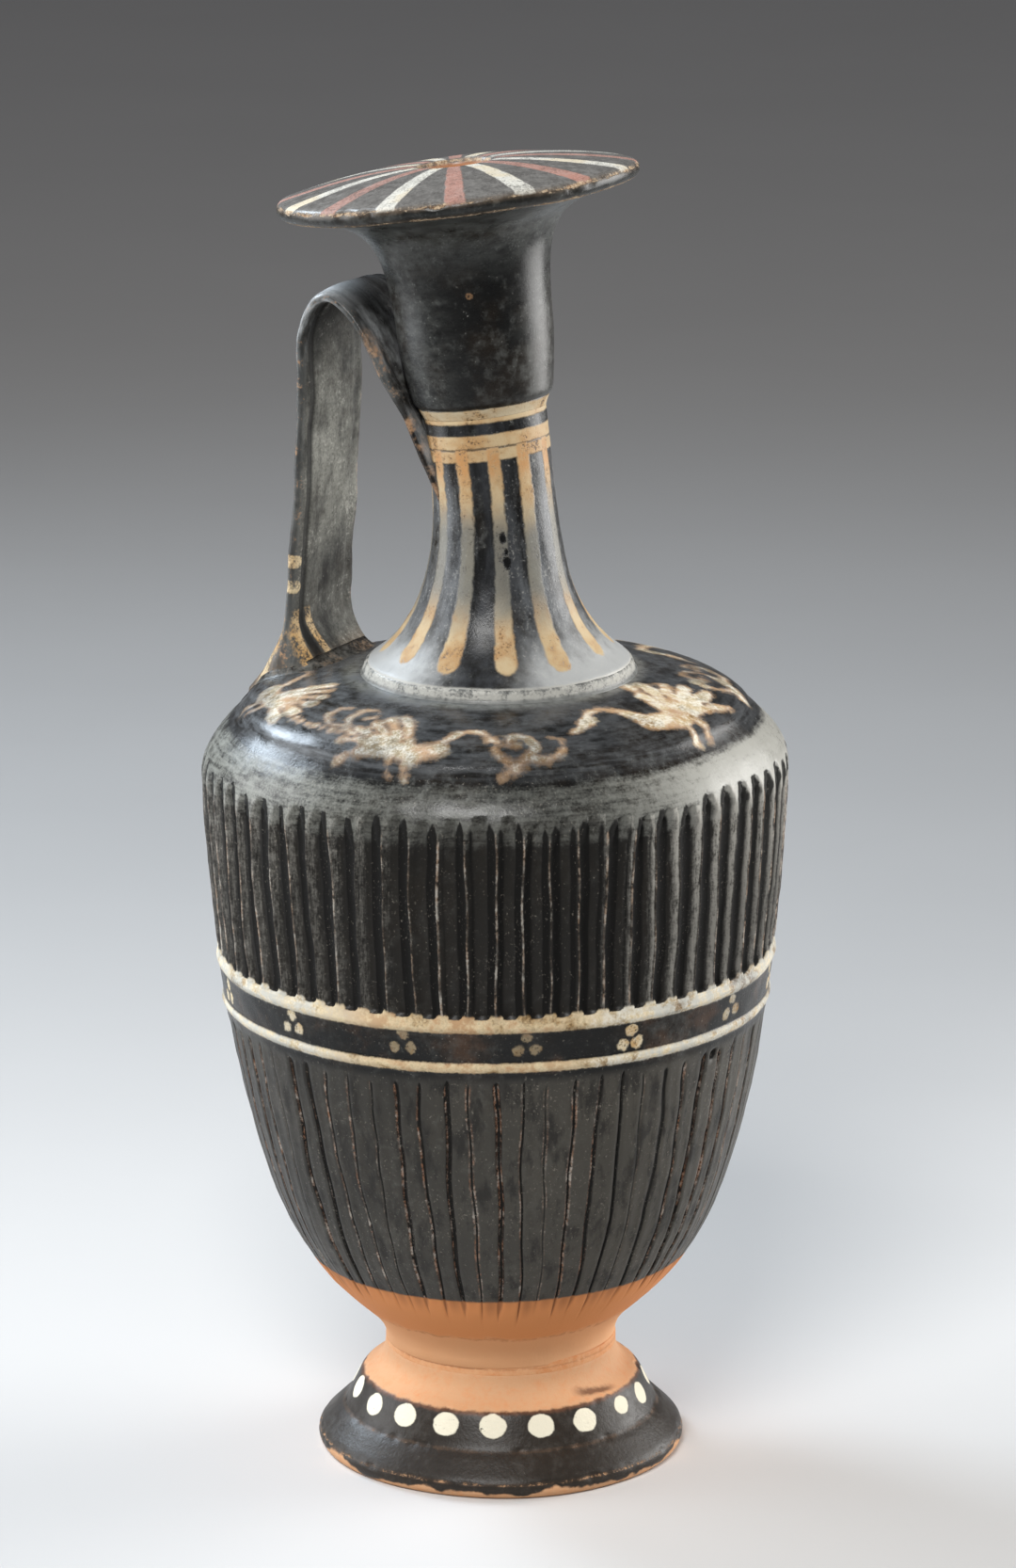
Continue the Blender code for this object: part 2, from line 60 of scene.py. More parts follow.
camera_data = bpy.data.cameras.new("camera")
camera_data.sensor_fit = "HORIZONTAL"
camera_data.sensor_width = 36
camera_data.lens = camera_data.sensor_width * FOCAL_PIXELS / PHOTO_WIDTH
camera = bpy.data.objects.new("camera", camera_data)
camera.location = CAMERA_PLACE
camera.rotation_euler = (math.radians(90 - CAMERA_DIP), 0, 0)
bpy.context.scene.collection.objects.link(camera)
bpy.context.scene.camera = camera
bpy.context.scene.view_settings.view_transform = "Standard"


def soft_box(name, place, aim, size, power, colour, spread):
    """A lamp turned to its aim, with a grid that keeps its light within a spread in degrees."""
    data = bpy.data.lights.new(name, "AREA")
    data.spread = math.radians(spread)
    data.shape = "RECTANGLE"
    data.size, data.size_y = size
    data.energy = power
    data.color = colour
    lamp = bpy.data.objects.new(name, data)
    lamp.location = place
    direction = np.array(aim) - np.array(place)
    flat = math.hypot(direction[0], direction[1])
    lamp.rotation_euler = (math.atan2(flat, -direction[2]), 0, math.atan2(-direction[0], direction[1]))
    bpy.context.scene.collection.objects.link(lamp)


soft_box("front_box", (-0.25, -0.95, 1.05), (0, 0.08, 0.09), (0.60, 0.40), 3.25, (1.0, 0.995, 0.98), 75)
soft_box("right_card", (0.40, 0.13, 0.20), (0, 0, 0.15), (0.32, 0.38), 0.76, (1.0, 0.99, 0.97), 80)
soft_box("left_card", (-0.42, 0.06, 0.24), (0, 0, 0.16), (0.30, 0.46), 0.52, (0.94, 0.97, 1.0), 80)
soft_box("back_box", (-0.80, 0.75, 0.85), (0, 0, 0.13), (0.50, 0.42), 2.2, (0.76, 0.88, 1.0), 70)

world = bpy.data.worlds.new("studio")
world.use_nodes = True
world.node_tree.nodes["Background"].inputs["Color"].default_value = STUDIO_GREY
bpy.context.scene.world = world


class Signal:
    """One output of a material's node. Arithmetic on it adds Math nodes."""

    def __init__(self, glaze, socket):
        self.glaze = glaze
        self.socket = socket

    def math(self, operation, *values):
        return self.glaze.node("Math", {"operation": operation}, dict(enumerate(values)))

    def __add__(self, other):
        return self.math("ADD", self, other)

    def __sub__(self, other):
        return self.math("SUBTRACT", self, other)

    def __rsub__(self, other):
        return self.math("SUBTRACT", other, self)

    def __mul__(self, other):
        return self.math("MULTIPLY", self, other)

    def __truediv__(self, other):
        return self.math("DIVIDE", self, other)

    def __pow__(self, other):
        return self.math("POWER", self, other)

    def __mod__(self, other):
        return self.math("FLOORED_MODULO", self, other)

    def __abs__(self):
        return self.math("ABSOLUTE", self)

    __radd__ = __add__
    __rmul__ = __mul__

    def least(self, other):
        return self.math("MINIMUM", self, other)

    def most(self, other):
        return self.math("MAXIMUM", self, other)

    def rise(self, low, high):
        """From 0 at low to 1 at high, eased at both ends; low may be the larger."""
        sockets = {"Value": self, "From Min": low, "From Max": high}
        return self.glaze.node("MapRange", {"interpolation_type": "SMOOTHSTEP"}, sockets)

    def near(self, middle, reach, edge):
        """1 within a reach of the middle and 0 beyond it, with a soft edge."""
        return abs(self - middle).rise(reach + edge, reach - edge)


class Glaze:
    """A material whose nodes are added by expressions."""

    def __init__(self, name):
        self.material = bpy.data.materials.new(name)
        self.material.use_nodes = True
        self.tree = self.material.node_tree
        self.surface = self.tree.nodes["Principled BSDF"]

    def node(self, kind, settings, sockets, output=0):
        """A node of any type, with its settings and the values or links of its sockets."""
        made = self.tree.nodes.new(f"ShaderNode{kind}")
        for name, value in settings.items():
            setattr(made, name, value)
        for name, value in sockets.items():
            self.feed(made.inputs[name], value)
        return Signal(self, made.outputs[output])

    def feed(self, socket, value):
        if isinstance(value, Signal):
            self.tree.links.new(value.socket, socket)
        else:
            socket.default_value = value

    def mark(self, name, output="Fac"):
        """A value that the mesh carries at its vertices."""
        return self.node("Attribute", {"attribute_name": name}, {}, output)

    def noise(self, place, scale, detail=3, roughness=0.55):
        sockets = {"Vector": place, "Scale": scale, "Detail": detail, "Roughness": roughness}
        return self.node("TexNoise", {}, sockets)

    def blend(self, under, over, mask):
        return self.node("Mix", {"data_type": "RGBA"}, {0: mask, 6: under, 7: over}, 2)

    def coat(self, colour, roughness, height):
        """Sends the finished signals to the shader; heights are in millimetres."""
        bump = self.node("Bump", {}, {"Strength": 1.0, "Distance": MILLIMETRE, "Height": height})
        self.feed(self.surface.inputs["Specular IOR Level"], CLAY_SHEEN)
        self.feed(self.surface.inputs["Base Color"], colour)
        self.feed(self.surface.inputs["Roughness"], roughness)
        self.feed(self.surface.inputs["Normal"], bump)


floor_mesh = bpy.data.meshes.new("floor")
corners = [(x * FLOOR_REACH, y * FLOOR_REACH, 0) for x, y in ((-1, -1), (1, -1), (1, 1), (-1, 1))]
floor_mesh.from_pydata(corners, [], [(0, 1, 2, 3)])
floor = bpy.data.objects.new("floor", floor_mesh)
bpy.context.scene.collection.objects.link(floor)
table_top = Glaze("table_top")
table_grain = table_top.noise(table_top.node("TexCoord", {}, {}, "Object"), 9, 4)
table_colour = table_top.blend(TABLE_PALE, TABLE_PALER, table_grain)
table_top.coat(table_colour, 0.75 + 0.1 * table_grain, 0.05 * table_grain)
floor_mesh.materials.append(table_top.material)

# Foot: turned apart on the wheel in two steps over a hollow underside, brushed with black gloss,
# and painted with a row of white dots. Its top and its standing edge are bare clay.
FOOT_EDGE = (30.5, 2.6)
FOOT_STEP = (26.2, 6.7)
FOOT_RIDGE = 0.7
FOOT_TOP = (22.9, 12.5)
STEM_RADIUS = 19.1
STEM_HEIGHT = 17.5
FOOT_HOLLOW = (21.5, 8.0)
FOOT_COLUMNS = 224
LAP = 0.3  # how far a piece runs into the slip beside it
POLE = 0.4  # radius at which an outline stops short of the axis
FOOT_DOTS = 19
DOT_ROW = (24.2, 10.1)
DOT_SIZE = 2.08
SMEAR_ANGLE = 47
SMEAR_RADIUS = 21.3
BLACK = (0.0065, 0.0065, 0.0064, 1)
BROWN_BLACK = (0.0135, 0.0105, 0.0080, 1)
BLOOM = (0.085, 0.088, 0.083, 1)
LIME = (0.46, 0.45, 0.41, 1)
TAN = (0.42, 0.24, 0.125, 1)
ORANGE = (0.60, 0.235, 0.082, 1)
SHADED_FOOT_CLAY = (0.57, 0.325, 0.175, 1)
FOOT_BLACK = (0.034, 0.026, 0.0195, 1)
THIN_GLOSS = (0.17, 0.070, 0.034, 1)
RUBBED_GLOSS = (0.105, 0.062, 0.036, 1)
DOT_CREAM = (0.74, 0.70, 0.56, 1)


def curve(start, leave, arrive, end, steps=24):
    """Points of one Bezier stretch, (radius, height), without its first point."""
    t = np.linspace(0, 1, steps + 1)[1:, None]
    knots = np.array([start, leave, arrive, end], float)
    shares = (1 - t) ** 3, 3 * (1 - t) ** 2 * t, 3 * (1 - t) * t**2, t**3
    return sum(share * knot for share, knot in zip(shares, knots))


def lengths(outline):
    """Distance along an outline at each of its points."""
    return np.concatenate([[0], np.cumsum(np.hypot(*np.diff(outline, axis=0).T))])


def sampled(outline, places):
    """The outline's points at distances along it."""
    reached = lengths(outline)
    return np.stack([np.interp(places, reached, outline[:, i]) for i in (0, 1)], 1)


def evened(outline, spacing, softness=0):
    """The outline in even steps, with its corners rounded over a number of steps."""
    reached = lengths(outline)[-1]
    points = sampled(outline, np.linspace(0, reached, int(reached / spacing)))
    for _ in range(softness):
        points[1:-1] = (points[:-2] + 2 * points[1:-1] + points[2:]) / 4
    return points


def ripple(points, size, seed):
    """Smooth unevenness, mostly between -1 and 1, with swells of about one size."""
    draw = np.random.default_rng(seed)
    waves = draw.normal(size=(3, 14)) * 2 / size
    phases = draw.uniform(0, math.tau, 14)
    return np.sin(points @ waves + phases).sum(-1) / math.sqrt(14 / 2)


def turned(outline, columns):
    """Straight points [ring, column, xyz] of an outline turned round the axis."""
    angles = np.linspace(0, math.tau, columns, endpoint=False)
    radius, height = outline[:, :1], outline[:, 1:]
    return np.stack([radius * np.sin(angles), -radius * np.cos(angles), height + 0 * angles], -1)


def rungs(loop):
    """Faces that close a loop of vertices, laid across it from its first vertex to the opposite one."""
    half = len(loop) // 2
    faces = [[loop[-1], loop[0], loop[1]], loop[half - 1:half + 2]]
    for i in range(1, half - 1):
        faces.append([loop[i], loop[i + 1], loop[-i - 1], loop[-i]])
    return faces


def clay_piece(name, points, looped, glaze, marks):
    """A smooth mesh from rings of points in millimetres, and the values that its vertices carry."""
    rings, columns = points.shape[:2]
    index = np.arange(rings * columns).reshape(rings, columns)
    lower = index if looped else index[:-1]
    upper = np.roll(index, -1, 0) if looped else index[1:]
    quads = np.stack([lower, np.roll(lower, -1, 1), np.roll(upper, -1, 1), upper], -1).reshape(-1, 4)
    faces = quads.tolist()
    if not looped:
        faces += rungs(index[0].tolist()) + rungs(index[-1].tolist())
    mesh = bpy.data.meshes.new(name)
    mesh.from_pydata((points.reshape(-1, 3) * MILLIMETRE).tolist(), [], faces)
    shape = bmesh.new()
    shape.from_mesh(mesh)
    bmesh.ops.recalc_face_normals(shape, faces=shape.faces)
    shape.to_mesh(mesh)
    shape.free()
    for mark, values in marks.items():
        kind, field = ("FLOAT_VECTOR", "vector") if np.ndim(values) == 3 else ("FLOAT", "value")
        stored = mesh.attributes.new(mark, kind, "POINT")
        stored.data.foreach_set(field, np.ascontiguousarray(values, np.float32).ravel())
    mesh.shade_smooth()
    mesh.materials.append(glaze.material)
    piece = bpy.data.objects.new(name, mesh)
    bpy.context.scene.collection.objects.link(piece)
    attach(piece, "root")
    return piece


def split(glaze, vector):
    return [glaze.node("SeparateXYZ", {}, {0: vector}, axis) for axis in "XYZ"]


def stretched(glaze, place, shares):
    return glaze.node("VectorMath", {"operation": "MULTIPLY"}, {0: place, 1: shares})


def turned_place(glaze):
    """The place on the straight, turned piece, and its x, y and z."""
    place = glaze.mark("turned", "Vector")
    return place, *split(glaze, place)


def round_axis(x, y):
    """Angle from the near side, in degrees, and distance from the axis."""
    angle = x.math("ARCTAN2", x, -1 * y) * (180 / math.pi)
    return angle, (x * x + y * y) ** 0.5


def cells(angle, count, turn):
    """Equal cells round the axis: each one's number, and the way across it from -0.5 to 0.5."""
    cell = (angle - turn) / (360 / count) + 0.5
    number = cell.math("FLOOR", cell)
    return number, cell - number - 0.5


def luck_of(glaze, number, draw):
    """A value between 0 and 1 for each whole number."""
    return glaze.node("TexWhiteNoise", {"noise_dimensions": "1D"}, {"W": number + draw})


def distance(aside, above):
    return (aside * aside + above * above) ** 0.5


def fired_black(glaze, place, bloom, brushing=(0.10, 0.10, 1.3)):
    """Colour and roughness of black gloss: brown where it is thin, clouded grey, with specks of lime."""
    cloud = glaze.noise(place, 0.075, 5, 0.6)
    mottle = glaze.noise(place, 0.55, 5, 0.65)
    speck = glaze.noise(place, 2.4, 3, 0.6)
    colour = glaze.blend(BLACK, BROWN_BLACK, cloud.rise(0.42, 0.62))
    clouded = (cloud * 0.5 + mottle * 0.7).rise(0.58, 0.82) * bloom
    colour = glaze.blend(colour, BLOOM, clouded)
    # Here the name holds only the specks of lime.
    lime_and_lit_flank = (speck + 0.25 * mottle).rise(0.80, 0.92) * bloom
    colour = glaze.blend(colour, LIME, lime_and_lit_flank * 0.7)
    brush = glaze.noise(stretched(glaze, place, brushing), 1.1, 4, 0.6)
    roughness = 0.15 + 0.14 * mottle + 0.14 * brush + 0.2 * clouded
    return colour, roughness, mottle, speck


foot_path = np.concatenate([
    [(POLE, STEM_HEIGHT + LAP), (STEM_RADIUS, STEM_HEIGHT + LAP), (STEM_RADIUS, STEM_HEIGHT)],
    curve((STEM_RADIUS, STEM_HEIGHT), (STEM_RADIUS, 14.5), (20.6, 13.25), FOOT_TOP),
    [(FOOT_STEP[0] - FOOT_RIDGE, FOOT_STEP[1] + FOOT_RIDGE), FOOT_STEP, FOOT_EDGE],
    curve(FOOT_EDGE, (FOOT_EDGE[0], 1.2), (FOOT_EDGE[0] - 0.3, 0.4), (FOOT_EDGE[0] - 1.0, 0)),
    [(FOOT_HOLLOW[0], 0)],
    curve((FOOT_HOLLOW[0], 0), (19.4, 5.6), (8.6, FOOT_HOLLOW[1]), (POLE, FOOT_HOLLOW[1])),
])
foot_outline = evened(foot_path, 0.42, 2)
foot_straight = turned(foot_outline, FOOT_COLUMNS)
foot_corners = np.array([FOOT_TOP, FOOT_STEP, FOOT_EDGE])
to_corner = np.hypot(*(foot_outline[:, None] - foot_corners).transpose(2, 0, 1)).min(1)
foot_edge = np.repeat(np.exp(-((to_corner / 0.8) ** 2))[:, None], FOOT_COLUMNS, 1)
foot_chips = np.clip(ripple(foot_straight, 1.6, 3) + 0.5 * ripple(foot_straight, 0.7, 4) - 0.9, 0, 1)
foot_worn = foot_straight.copy()
foot_worn[..., :2] *= (1 - foot_edge * (0.006 + 0.016 * foot_chips))[..., None]
foot_worn[..., :2] *= (1 + 0.0022 * ripple(foot_straight, 14, 5))[..., None]

foot_glaze = Glaze("foot_black_gloss")
place, x, y, z = turned_place(foot_glaze)
angle, radius = round_axis(x, y)
edge = foot_glaze.mark("edge")
black, roughness, mottle, speck = fired_black(foot_glaze, place, 0.55)
grain = foot_glaze.noise(place, 1.5, 4)
cloud = foot_glaze.noise(place, 0.12, 3)
# The foot's clay is a darker copy of the stem's peach, a painted shade for its top that faces up to the
# lamps.
clay = foot_glaze.blend(SHADED_FOOT_CLAY, ORANGE, (mottle * 0.8 + grain * 0.4).rise(0.5, 1.1))
brushed = (z + 5.5 * (cloud - 0.5) + 0.9 * (mottle - 0.5)).rise(1.05, 1.55)
brushed = brushed * (z + 0.8 * (mottle - 0.5)).rise(12.6, 12.2)
smear_line = radius - SMEAR_RADIUS - 0.05 * (angle - SMEAR_ANGLE) + 1.6 * (mottle - 0.5)
smear = abs(angle - SMEAR_ANGLE).rise(14, 5) * smear_line.near(0, 0.55, 0.45)
brushed = brushed.most(smear * 0.85)

dot_number, across_dot = cells(angle, FOOT_DOTS, -2.0)
dot_luck = luck_of(foot_glaze, dot_number, 0.37)
dot_lift = luck_of(foot_glaze, dot_number, 71.2)
aside = (across_dot + 0.12 * (dot_luck - 0.5)) * (math.tau / FOOT_DOTS * DOT_ROW[0])
above = 1.3 * (z - DOT_ROW[1] - 0.7 * (dot_lift - 0.5))
dot_reach = DOT_SIZE * (0.85 + 0.25 * dot_luck) + 0.7 * (mottle - 0.5)
dot = (distance(aside, above) - dot_reach).rise(0.16, -0.16)
dot = dot * z.rise(7.2, 7.6) * z.rise(12.9, 12.6) * (speck + mottle).rise(0.62, 0.78)

low_edge = z.rise(4.4, 3.2)
worn_off = (edge * 1.1 + mottle * 0.9 + speck * 0.5 + 0.16 * low_edge).rise(1.86, 2.04) * brushed
thinned = (z + 1.2 * (mottle - 0.5)).rise(11.6, 12.4)
black = foot_glaze.blend(black, FOOT_BLACK, 0.35 + 0.5 * mottle)
black = foot_glaze.blend(black, THIN_GLOSS, thinned * 0.7)
black = foot_glaze.blend(black, RUBBED_GLOSS, (edge * (0.2 + mottle)).rise(0.45, 0.9) * 0.6)
colour = foot_glaze.blend(clay, black, brushed)
colour = foot_glaze.blend(colour, TAN, worn_off * 0.9)
colour = foot_glaze.blend(colour, DOT_CREAM, dot)
roughness = 0.72 + (roughness - 0.62) * brushed * (1 - worn_off) * (1 - dot)
foot_glaze.coat(colour, roughness, 0.05 * grain + 0.05 * dot - 0.06 * worn_off + 0.03 * speck)
foot_marks = {"turned": foot_straight, "edge": foot_edge}
foot = clay_piece("foot_turned", foot_worn, False, foot_glaze, foot_marks)
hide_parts("foot")

# Foot joint: the band of clay slip that lutes the foot to the body, wiped flush with the stem
# and fired to the same bare clay, with a thin dark line where it shrank.
FOOT_SLIP = [(17.6, -0.35), (19.02, -0.35), (19.12, 0.25), (19.12, 1.15), (19.02, 1.75), (17.6, 1.75)]
SEAM_HEIGHT = 0.9
PEACH = (0.66, 0.36, 0.185, 1)
SEAM_BROWN = (0.30, 0.13, 0.06, 1)


def slip_ring(section, spacing, softness, columns):
    """Straight points of a ring of slip, turned from the closed outline of its section."""
    loop = np.array([*section, section[0]])
    return turned(evened(loop, spacing, softness)[:-1], columns)


joint_straight = slip_ring(FOOT_SLIP, 0.2, 1, 160)
joint_glaze = Glaze("foot_joint_slip")
place, x, y, z = turned_place(joint_glaze)
grain = joint_glaze.noise(place, 1.6, 4)
patch = joint_glaze.noise(place, 0.16, 3)
seam = (z + 0.8 * (patch - 0.5)).near(SEAM_HEIGHT, 0.16, 0.14) * grain.rise(0.34, 0.5)
colour = joint_glaze.blend(PEACH, ORANGE, (patch * 0.7 + grain * 0.5).rise(0.45, 0.9))
colour = joint_glaze.blend(colour, SEAM_BROWN, seam * 0.3)
joint_glaze.coat(colour, 0.74 + 0.1 * grain, 0.06 * grain - 0.03 * seam)
joint_points = joint_straight + [0, 0, STEM_HEIGHT]
foot_joint = clay_piece("foot_joint", joint_points, True, joint_glaze, {"turned": joint_straight})
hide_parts("foot_luting_slip")

# Body: thrown in one with its shoulder, then ribbed with a gouge above and below a belt of two raised
# lines while it was leather hard, brushed with black gloss down to the stem and painted with birds.
JOINT = 1.4  # thickness of the slip between two pieces
BODY_BASE = STEM_HEIGHT + JOINT
BODY_LEAN = math.radians(0.6)
BODY_WALL = 3.8
BODY_FLOOR = 6.0
STEM = np.array([STEM_RADIUS, 0.0])
WAIST = np.array([34.65, 20.6])
WAIST_SLOPE = math.radians(62.5)
BELLY = np.array([47.7, 97.1])
SHOULDER_SEAT = np.array([21.9, 113.0])
SHOULDER_OPENING = 13.5
SHOULDER_EDGE = 10.5
FLUTES = 66
UPPER_FLUTES = (67.4, 99.9)
UPPER_DEPTH = 1.1
LOWER_FLUTES = (11.4, 57.0)
GROOVE_DEPTH = 0.66
FACET_DEPTH = 0.22
BELT_LINES = (59.3, 66.1)
BELT_MIDDLE = 62.7
BELT_HALF = 0.85
BELT_HEIGHT = 0.4
TREFOILS = 14
TREFOIL_ROW = (44.6, 62.9)
TREFOIL_PETALS = ((0.1, 1.35), (-1.3, -0.95), (1.3, -0.8))
GLOSS_END = 15.8
PIT = (52.7, 55.7)  # angle and height of a small hole in the wall
WHITE = (0.80, 0.77, 0.68, 1)
CREAM = (0.68, 0.56, 0.36, 1)
OCHRE = (0.56, 0.34, 0.135, 1)
LOWER_GREY = (0.066, 0.060, 0.049, 1)
RIB_BLACK = (0.0110, 0.0090, 0.0064, 1)
FROST = (0.29, 0.295, 0.265, 1)
FROST_SHEEN = (0.42, 0.415, 0.375, 1)
DOME_SHEEN_HAZE = (0.120, 0.127, 0.134, 1)
FLANK_LIGHT = (0.37, 0.355, 0.318, 1)
FLUTE_SHADE = (0.0032, 0.0028, 0.0024, 1)
DULL_BLACK = (0.013, 0.0115, 0.0098, 1)
FLECK = (0.26, 0.235, 0.195, 1)
RIB_TAN = (0.33, 0.22, 0.145, 1)
GROOVE_TAN = (0.27, 0.118, 0.055, 1)
WASH_LINE = (0.36, 0.135, 0.05, 1)
GLOSS_RUN = (0.20, 0.075, 0.03, 1)
LINE_STAIN = (0.36, 0.19, 0.085, 1)
LINE_WHITE = (0.43, 0.425, 0.385, 1)
BELT_BROWN = (0.13, 0.062, 0.03, 1)

slope = np.array([math.cos(WAIST_SLOPE), math.sin(WAIST_SLOPE)])
climb = BELLY[1] - WAIST[1]
bulge = SHOULDER_EDGE * np.array([0.14, -0.22])
shoulder_turn = BELLY + SHOULDER_EDGE * np.array([-0.62, 1.0])
dome = SHOULDER_SEAT - shoulder_turn
body_path = np.concatenate([
    [(POLE, -LAP), (STEM_RADIUS, -LAP), STEM],
    curve(STEM, STEM + [0, 0.29 * WAIST[1]], WAIST - (WAIST[0] - STEM_RADIUS) * slope, WAIST),
    curve(WAIST, WAIST + 0.27 * climb * slope, BELLY - [0, 0.18 * climb], BELLY, 60),
    curve(BELLY, BELLY + [0, 0.55 * SHOULDER_EDGE], shoulder_turn + bulge, shoulder_turn),
    curve(shoulder_turn, shoulder_turn - bulge, SHOULDER_SEAT - dome * [0.45, 0.10], SHOULDER_SEAT, 40),
])
reached = lengths(body_path)
row_heights = np.concatenate([
    np.arange(0.0, 12, 1.3), np.arange(12, 18, 0.75), np.arange(18, 53, 1.8), np.arange(53, 56.4, 0.8),
    np.arange(56.4, 69.2, 0.42), np.arange(69.2, 95.5, 1.8), np.arange(95.5, 102, 0.42),
])
belly_rows = np.interp(row_heights, body_path[2:, 1], reached[2:])
shoulder_rows = np.linspace(belly_rows[-1], reached[-1], 56)[1:]
outer = sampled(body_path, np.concatenate([[0, reached[1]], belly_rows, shoulder_rows]))
slant = np.gradient(outer, axis=0)
outward = np.stack([slant[:, 1], -slant[:, 0]], 1) / np.hypot(*slant.T)[:, None]
wall_rows = np.linspace(len(outer) - 12, 9, 11).astype(int)
wall = outer[wall_rows] - BODY_WALL * outward[wall_rows]
inner = np.concatenate([
    [(SHOULDER_OPENING, SHOULDER_SEAT[1]), (SHOULDER_OPENING, SHOULDER_SEAT[1] - BODY_WALL)],
    wall, [(0.75 * wall[-1, 0], BODY_FLOOR), (POLE, BODY_FLOOR)],
])

# Each flute has eight columns of points, closest at its arrises, and strays a little from its true course.
column_shares = np.array([0, 0.07, 0.19, 0.34, 0.5, 0.66, 0.81, 0.93])
flute = np.repeat(np.arange(FLUTES), len(column_shares))
share = np.tile(column_shares, FLUTES)
draw = np.random.default_rng(66)
luck = draw.uniform(-1, 1, (4, FLUTES + 1))
luck[:, -1] = luck[:, 0]
height = outer[:, 1:]
stray = 0.05 * luck[0] + 0.06 * np.sin(height / (7 + 3 * luck[1]) + 9 * luck[2])
stray = stray + 0.025 * np.sin(height / (2.1 + 0.6 * luck[3]) + 7 * luck[1])
stray = stray * np.where(height < BELT_LINES[0], 1.3, 0.85)
strayed = (1 - share) * stray[:, flute] + share * stray[:, flute + 1]
turn = (flute + share + strayed) * (math.tau / FLUTES)
off_arris = 0.5 - abs(share - 0.5)
off_middle = abs(share - 0.5)
flute_luck = luck[:, flute]
arris_luck = np.where(share < 0.5, flute_luck, luck[:, flute + 1])

upper_end = UPPER_FLUTES[1] + 0.8 * flute_luck[1]
arch = np.clip((upper_end - height) / 5.0, 1e-6, 1) ** 0.72
heel = np.clip((height - UPPER_FLUTES[0]) / 1.8, 1e-6, 1) ** 0.36
opened = (height < upper_end) * (height > UPPER_FLUTES[0])
upper_cut = np.clip(1 - (off_middle / (0.468 * np.minimum(arch, heel))) ** 2.3, 0, 1) ** 0.85 * opened
lower_start = LOWER_FLUTES[0] + 1.6 * flute_luck[2]
lower_zone = np.clip((LOWER_FLUTES[1] + 0.5 * flute_luck[3] - height) / 1.3, 0, 1)
lower_zone = lower_zone * np.clip((height - lower_start) / 4.5, 0, 1)
vee = np.clip(1 - off_arris / (0.125 + 0.05 * arris_luck[2]), 0, 1) * (0.75 + 0.45 * arris_luck[0])
facet = 1 - (2 * off_middle) ** 2
cut = UPPER_DEPTH * upper_cut + lower_zone * (GROOVE_DEPTH * vee + FACET_DEPTH * facet)
belt = sum(np.clip(1 - ((height - line) / BELT_HALF) ** 2, 0, 1) ** 0.7 for line in BELT_LINES)
pit_across = (turn - math.radians(PIT[0])) * outer[:, :1]
pit = np.exp(-((np.hypot(pit_across, height - PIT[1]) / 0.8) ** 4))
out = BELT_HEIGHT * belt - cut - 0.9 * pit

body_radius = outer[:, :1] + out * outward[:, :1]
body_rise = height + out * outward[:, 1:]
body_straight = np.stack([body_radius * np.sin(turn), -body_radius * np.cos(turn), body_rise], -1)
unevenness = 0.14 * ripple(body_straight, 16, 7) + 0.03 * ripple(body_straight, 3.0, 8)
body_straight[2:, :, :2] *= 1 + (unevenness / np.maximum(body_radius, 5))[2:, :, None]
inner_straight = np.stack([
    inner[:, :1] * np.sin(turn[-1]), -inner[:, :1] * np.cos(turn[-1]), inner[:, 1:] + 0 * turn[-1]
], -1)

# Wear and painted light follow the flutes: the arrises are rubbed, painted shade darkens the walls that turn
# away from the near side, the grooves and the pit, and painted light makes the flanks that face it pale.
below_end = np.clip((upper_end - 0.8 - height) / 2.0, 0, 1)
above_belt = np.clip((height - UPPER_FLUTES[0]) / 0.7, 0, 1)
upper_rib = np.exp(-((off_arris / 0.055) ** 2)) * below_end * above_belt
groove_side = np.exp(-(((off_arris - 0.105) / 0.035) ** 2)) * lower_zone
away = np.sin(turn)
groove_worn = 0.5 + np.where(share > 0.5, 1, -1) * (0.25 - 0.6 * away) + 0.7 * flute_luck[1]
rib = upper_rib * (0.75 + 0.35 * flute_luck[3]) + groove_side * np.clip(groove_worn, 0, 1)
rightward, leftward = np.clip(away, 0, 1), np.clip(-away, 0, 1)
# Painted shade: each flute's walls are darkened as if in shadow, more on the wall that turns away from the
# near side.
left_wall = 1.5 * np.exp(-(((share - 0.17 - 0.21 * rightward) / (0.14 + 0.21 * rightward)) ** 2))
right_wall = 1.5 * np.exp(-(((0.83 - 0.18 * leftward - share) / (0.13 + 0.15 * leftward)) ** 2))
left_wall = left_wall * np.clip(0.42 + 0.8 * away, 0.12, 1.2)
right_wall = right_wall * np.clip(0.72 - 0.8 * away, 0.12, 1.2)
in_flutes = (height > UPPER_FLUTES[0]) * (height < upper_end + 1.0)
# flute_shade also darkens the lower ribs' grooves and the pit: painted shade in the hollows.
flute_shade = (left_wall + right_wall) * in_flutes + lower_zone * np.clip(1.3 * vee, 0, 1) + 1.6 * pit
# Painted light: the flank of each flute that faces the near side is made pale, as if lit.
right_flank = np.exp(-(((share - 0.92) / 0.20) ** 2)) * np.clip(2.4 * away - 0.30, 0, 1.2)
left_flank = np.exp(-(((share - 0.12) / 0.26) ** 2)) * np.clip(-1.6 * away - 0.15, 0, 0.55)
lime_and_lit_flank = (right_flank + left_flank) * opened
flute_place = np.stack([np.cos(math.tau * share), np.sin(math.tau * share), upper_end], -1)
flute_place = np.broadcast_to(flute_place, (*turn.shape, 3))

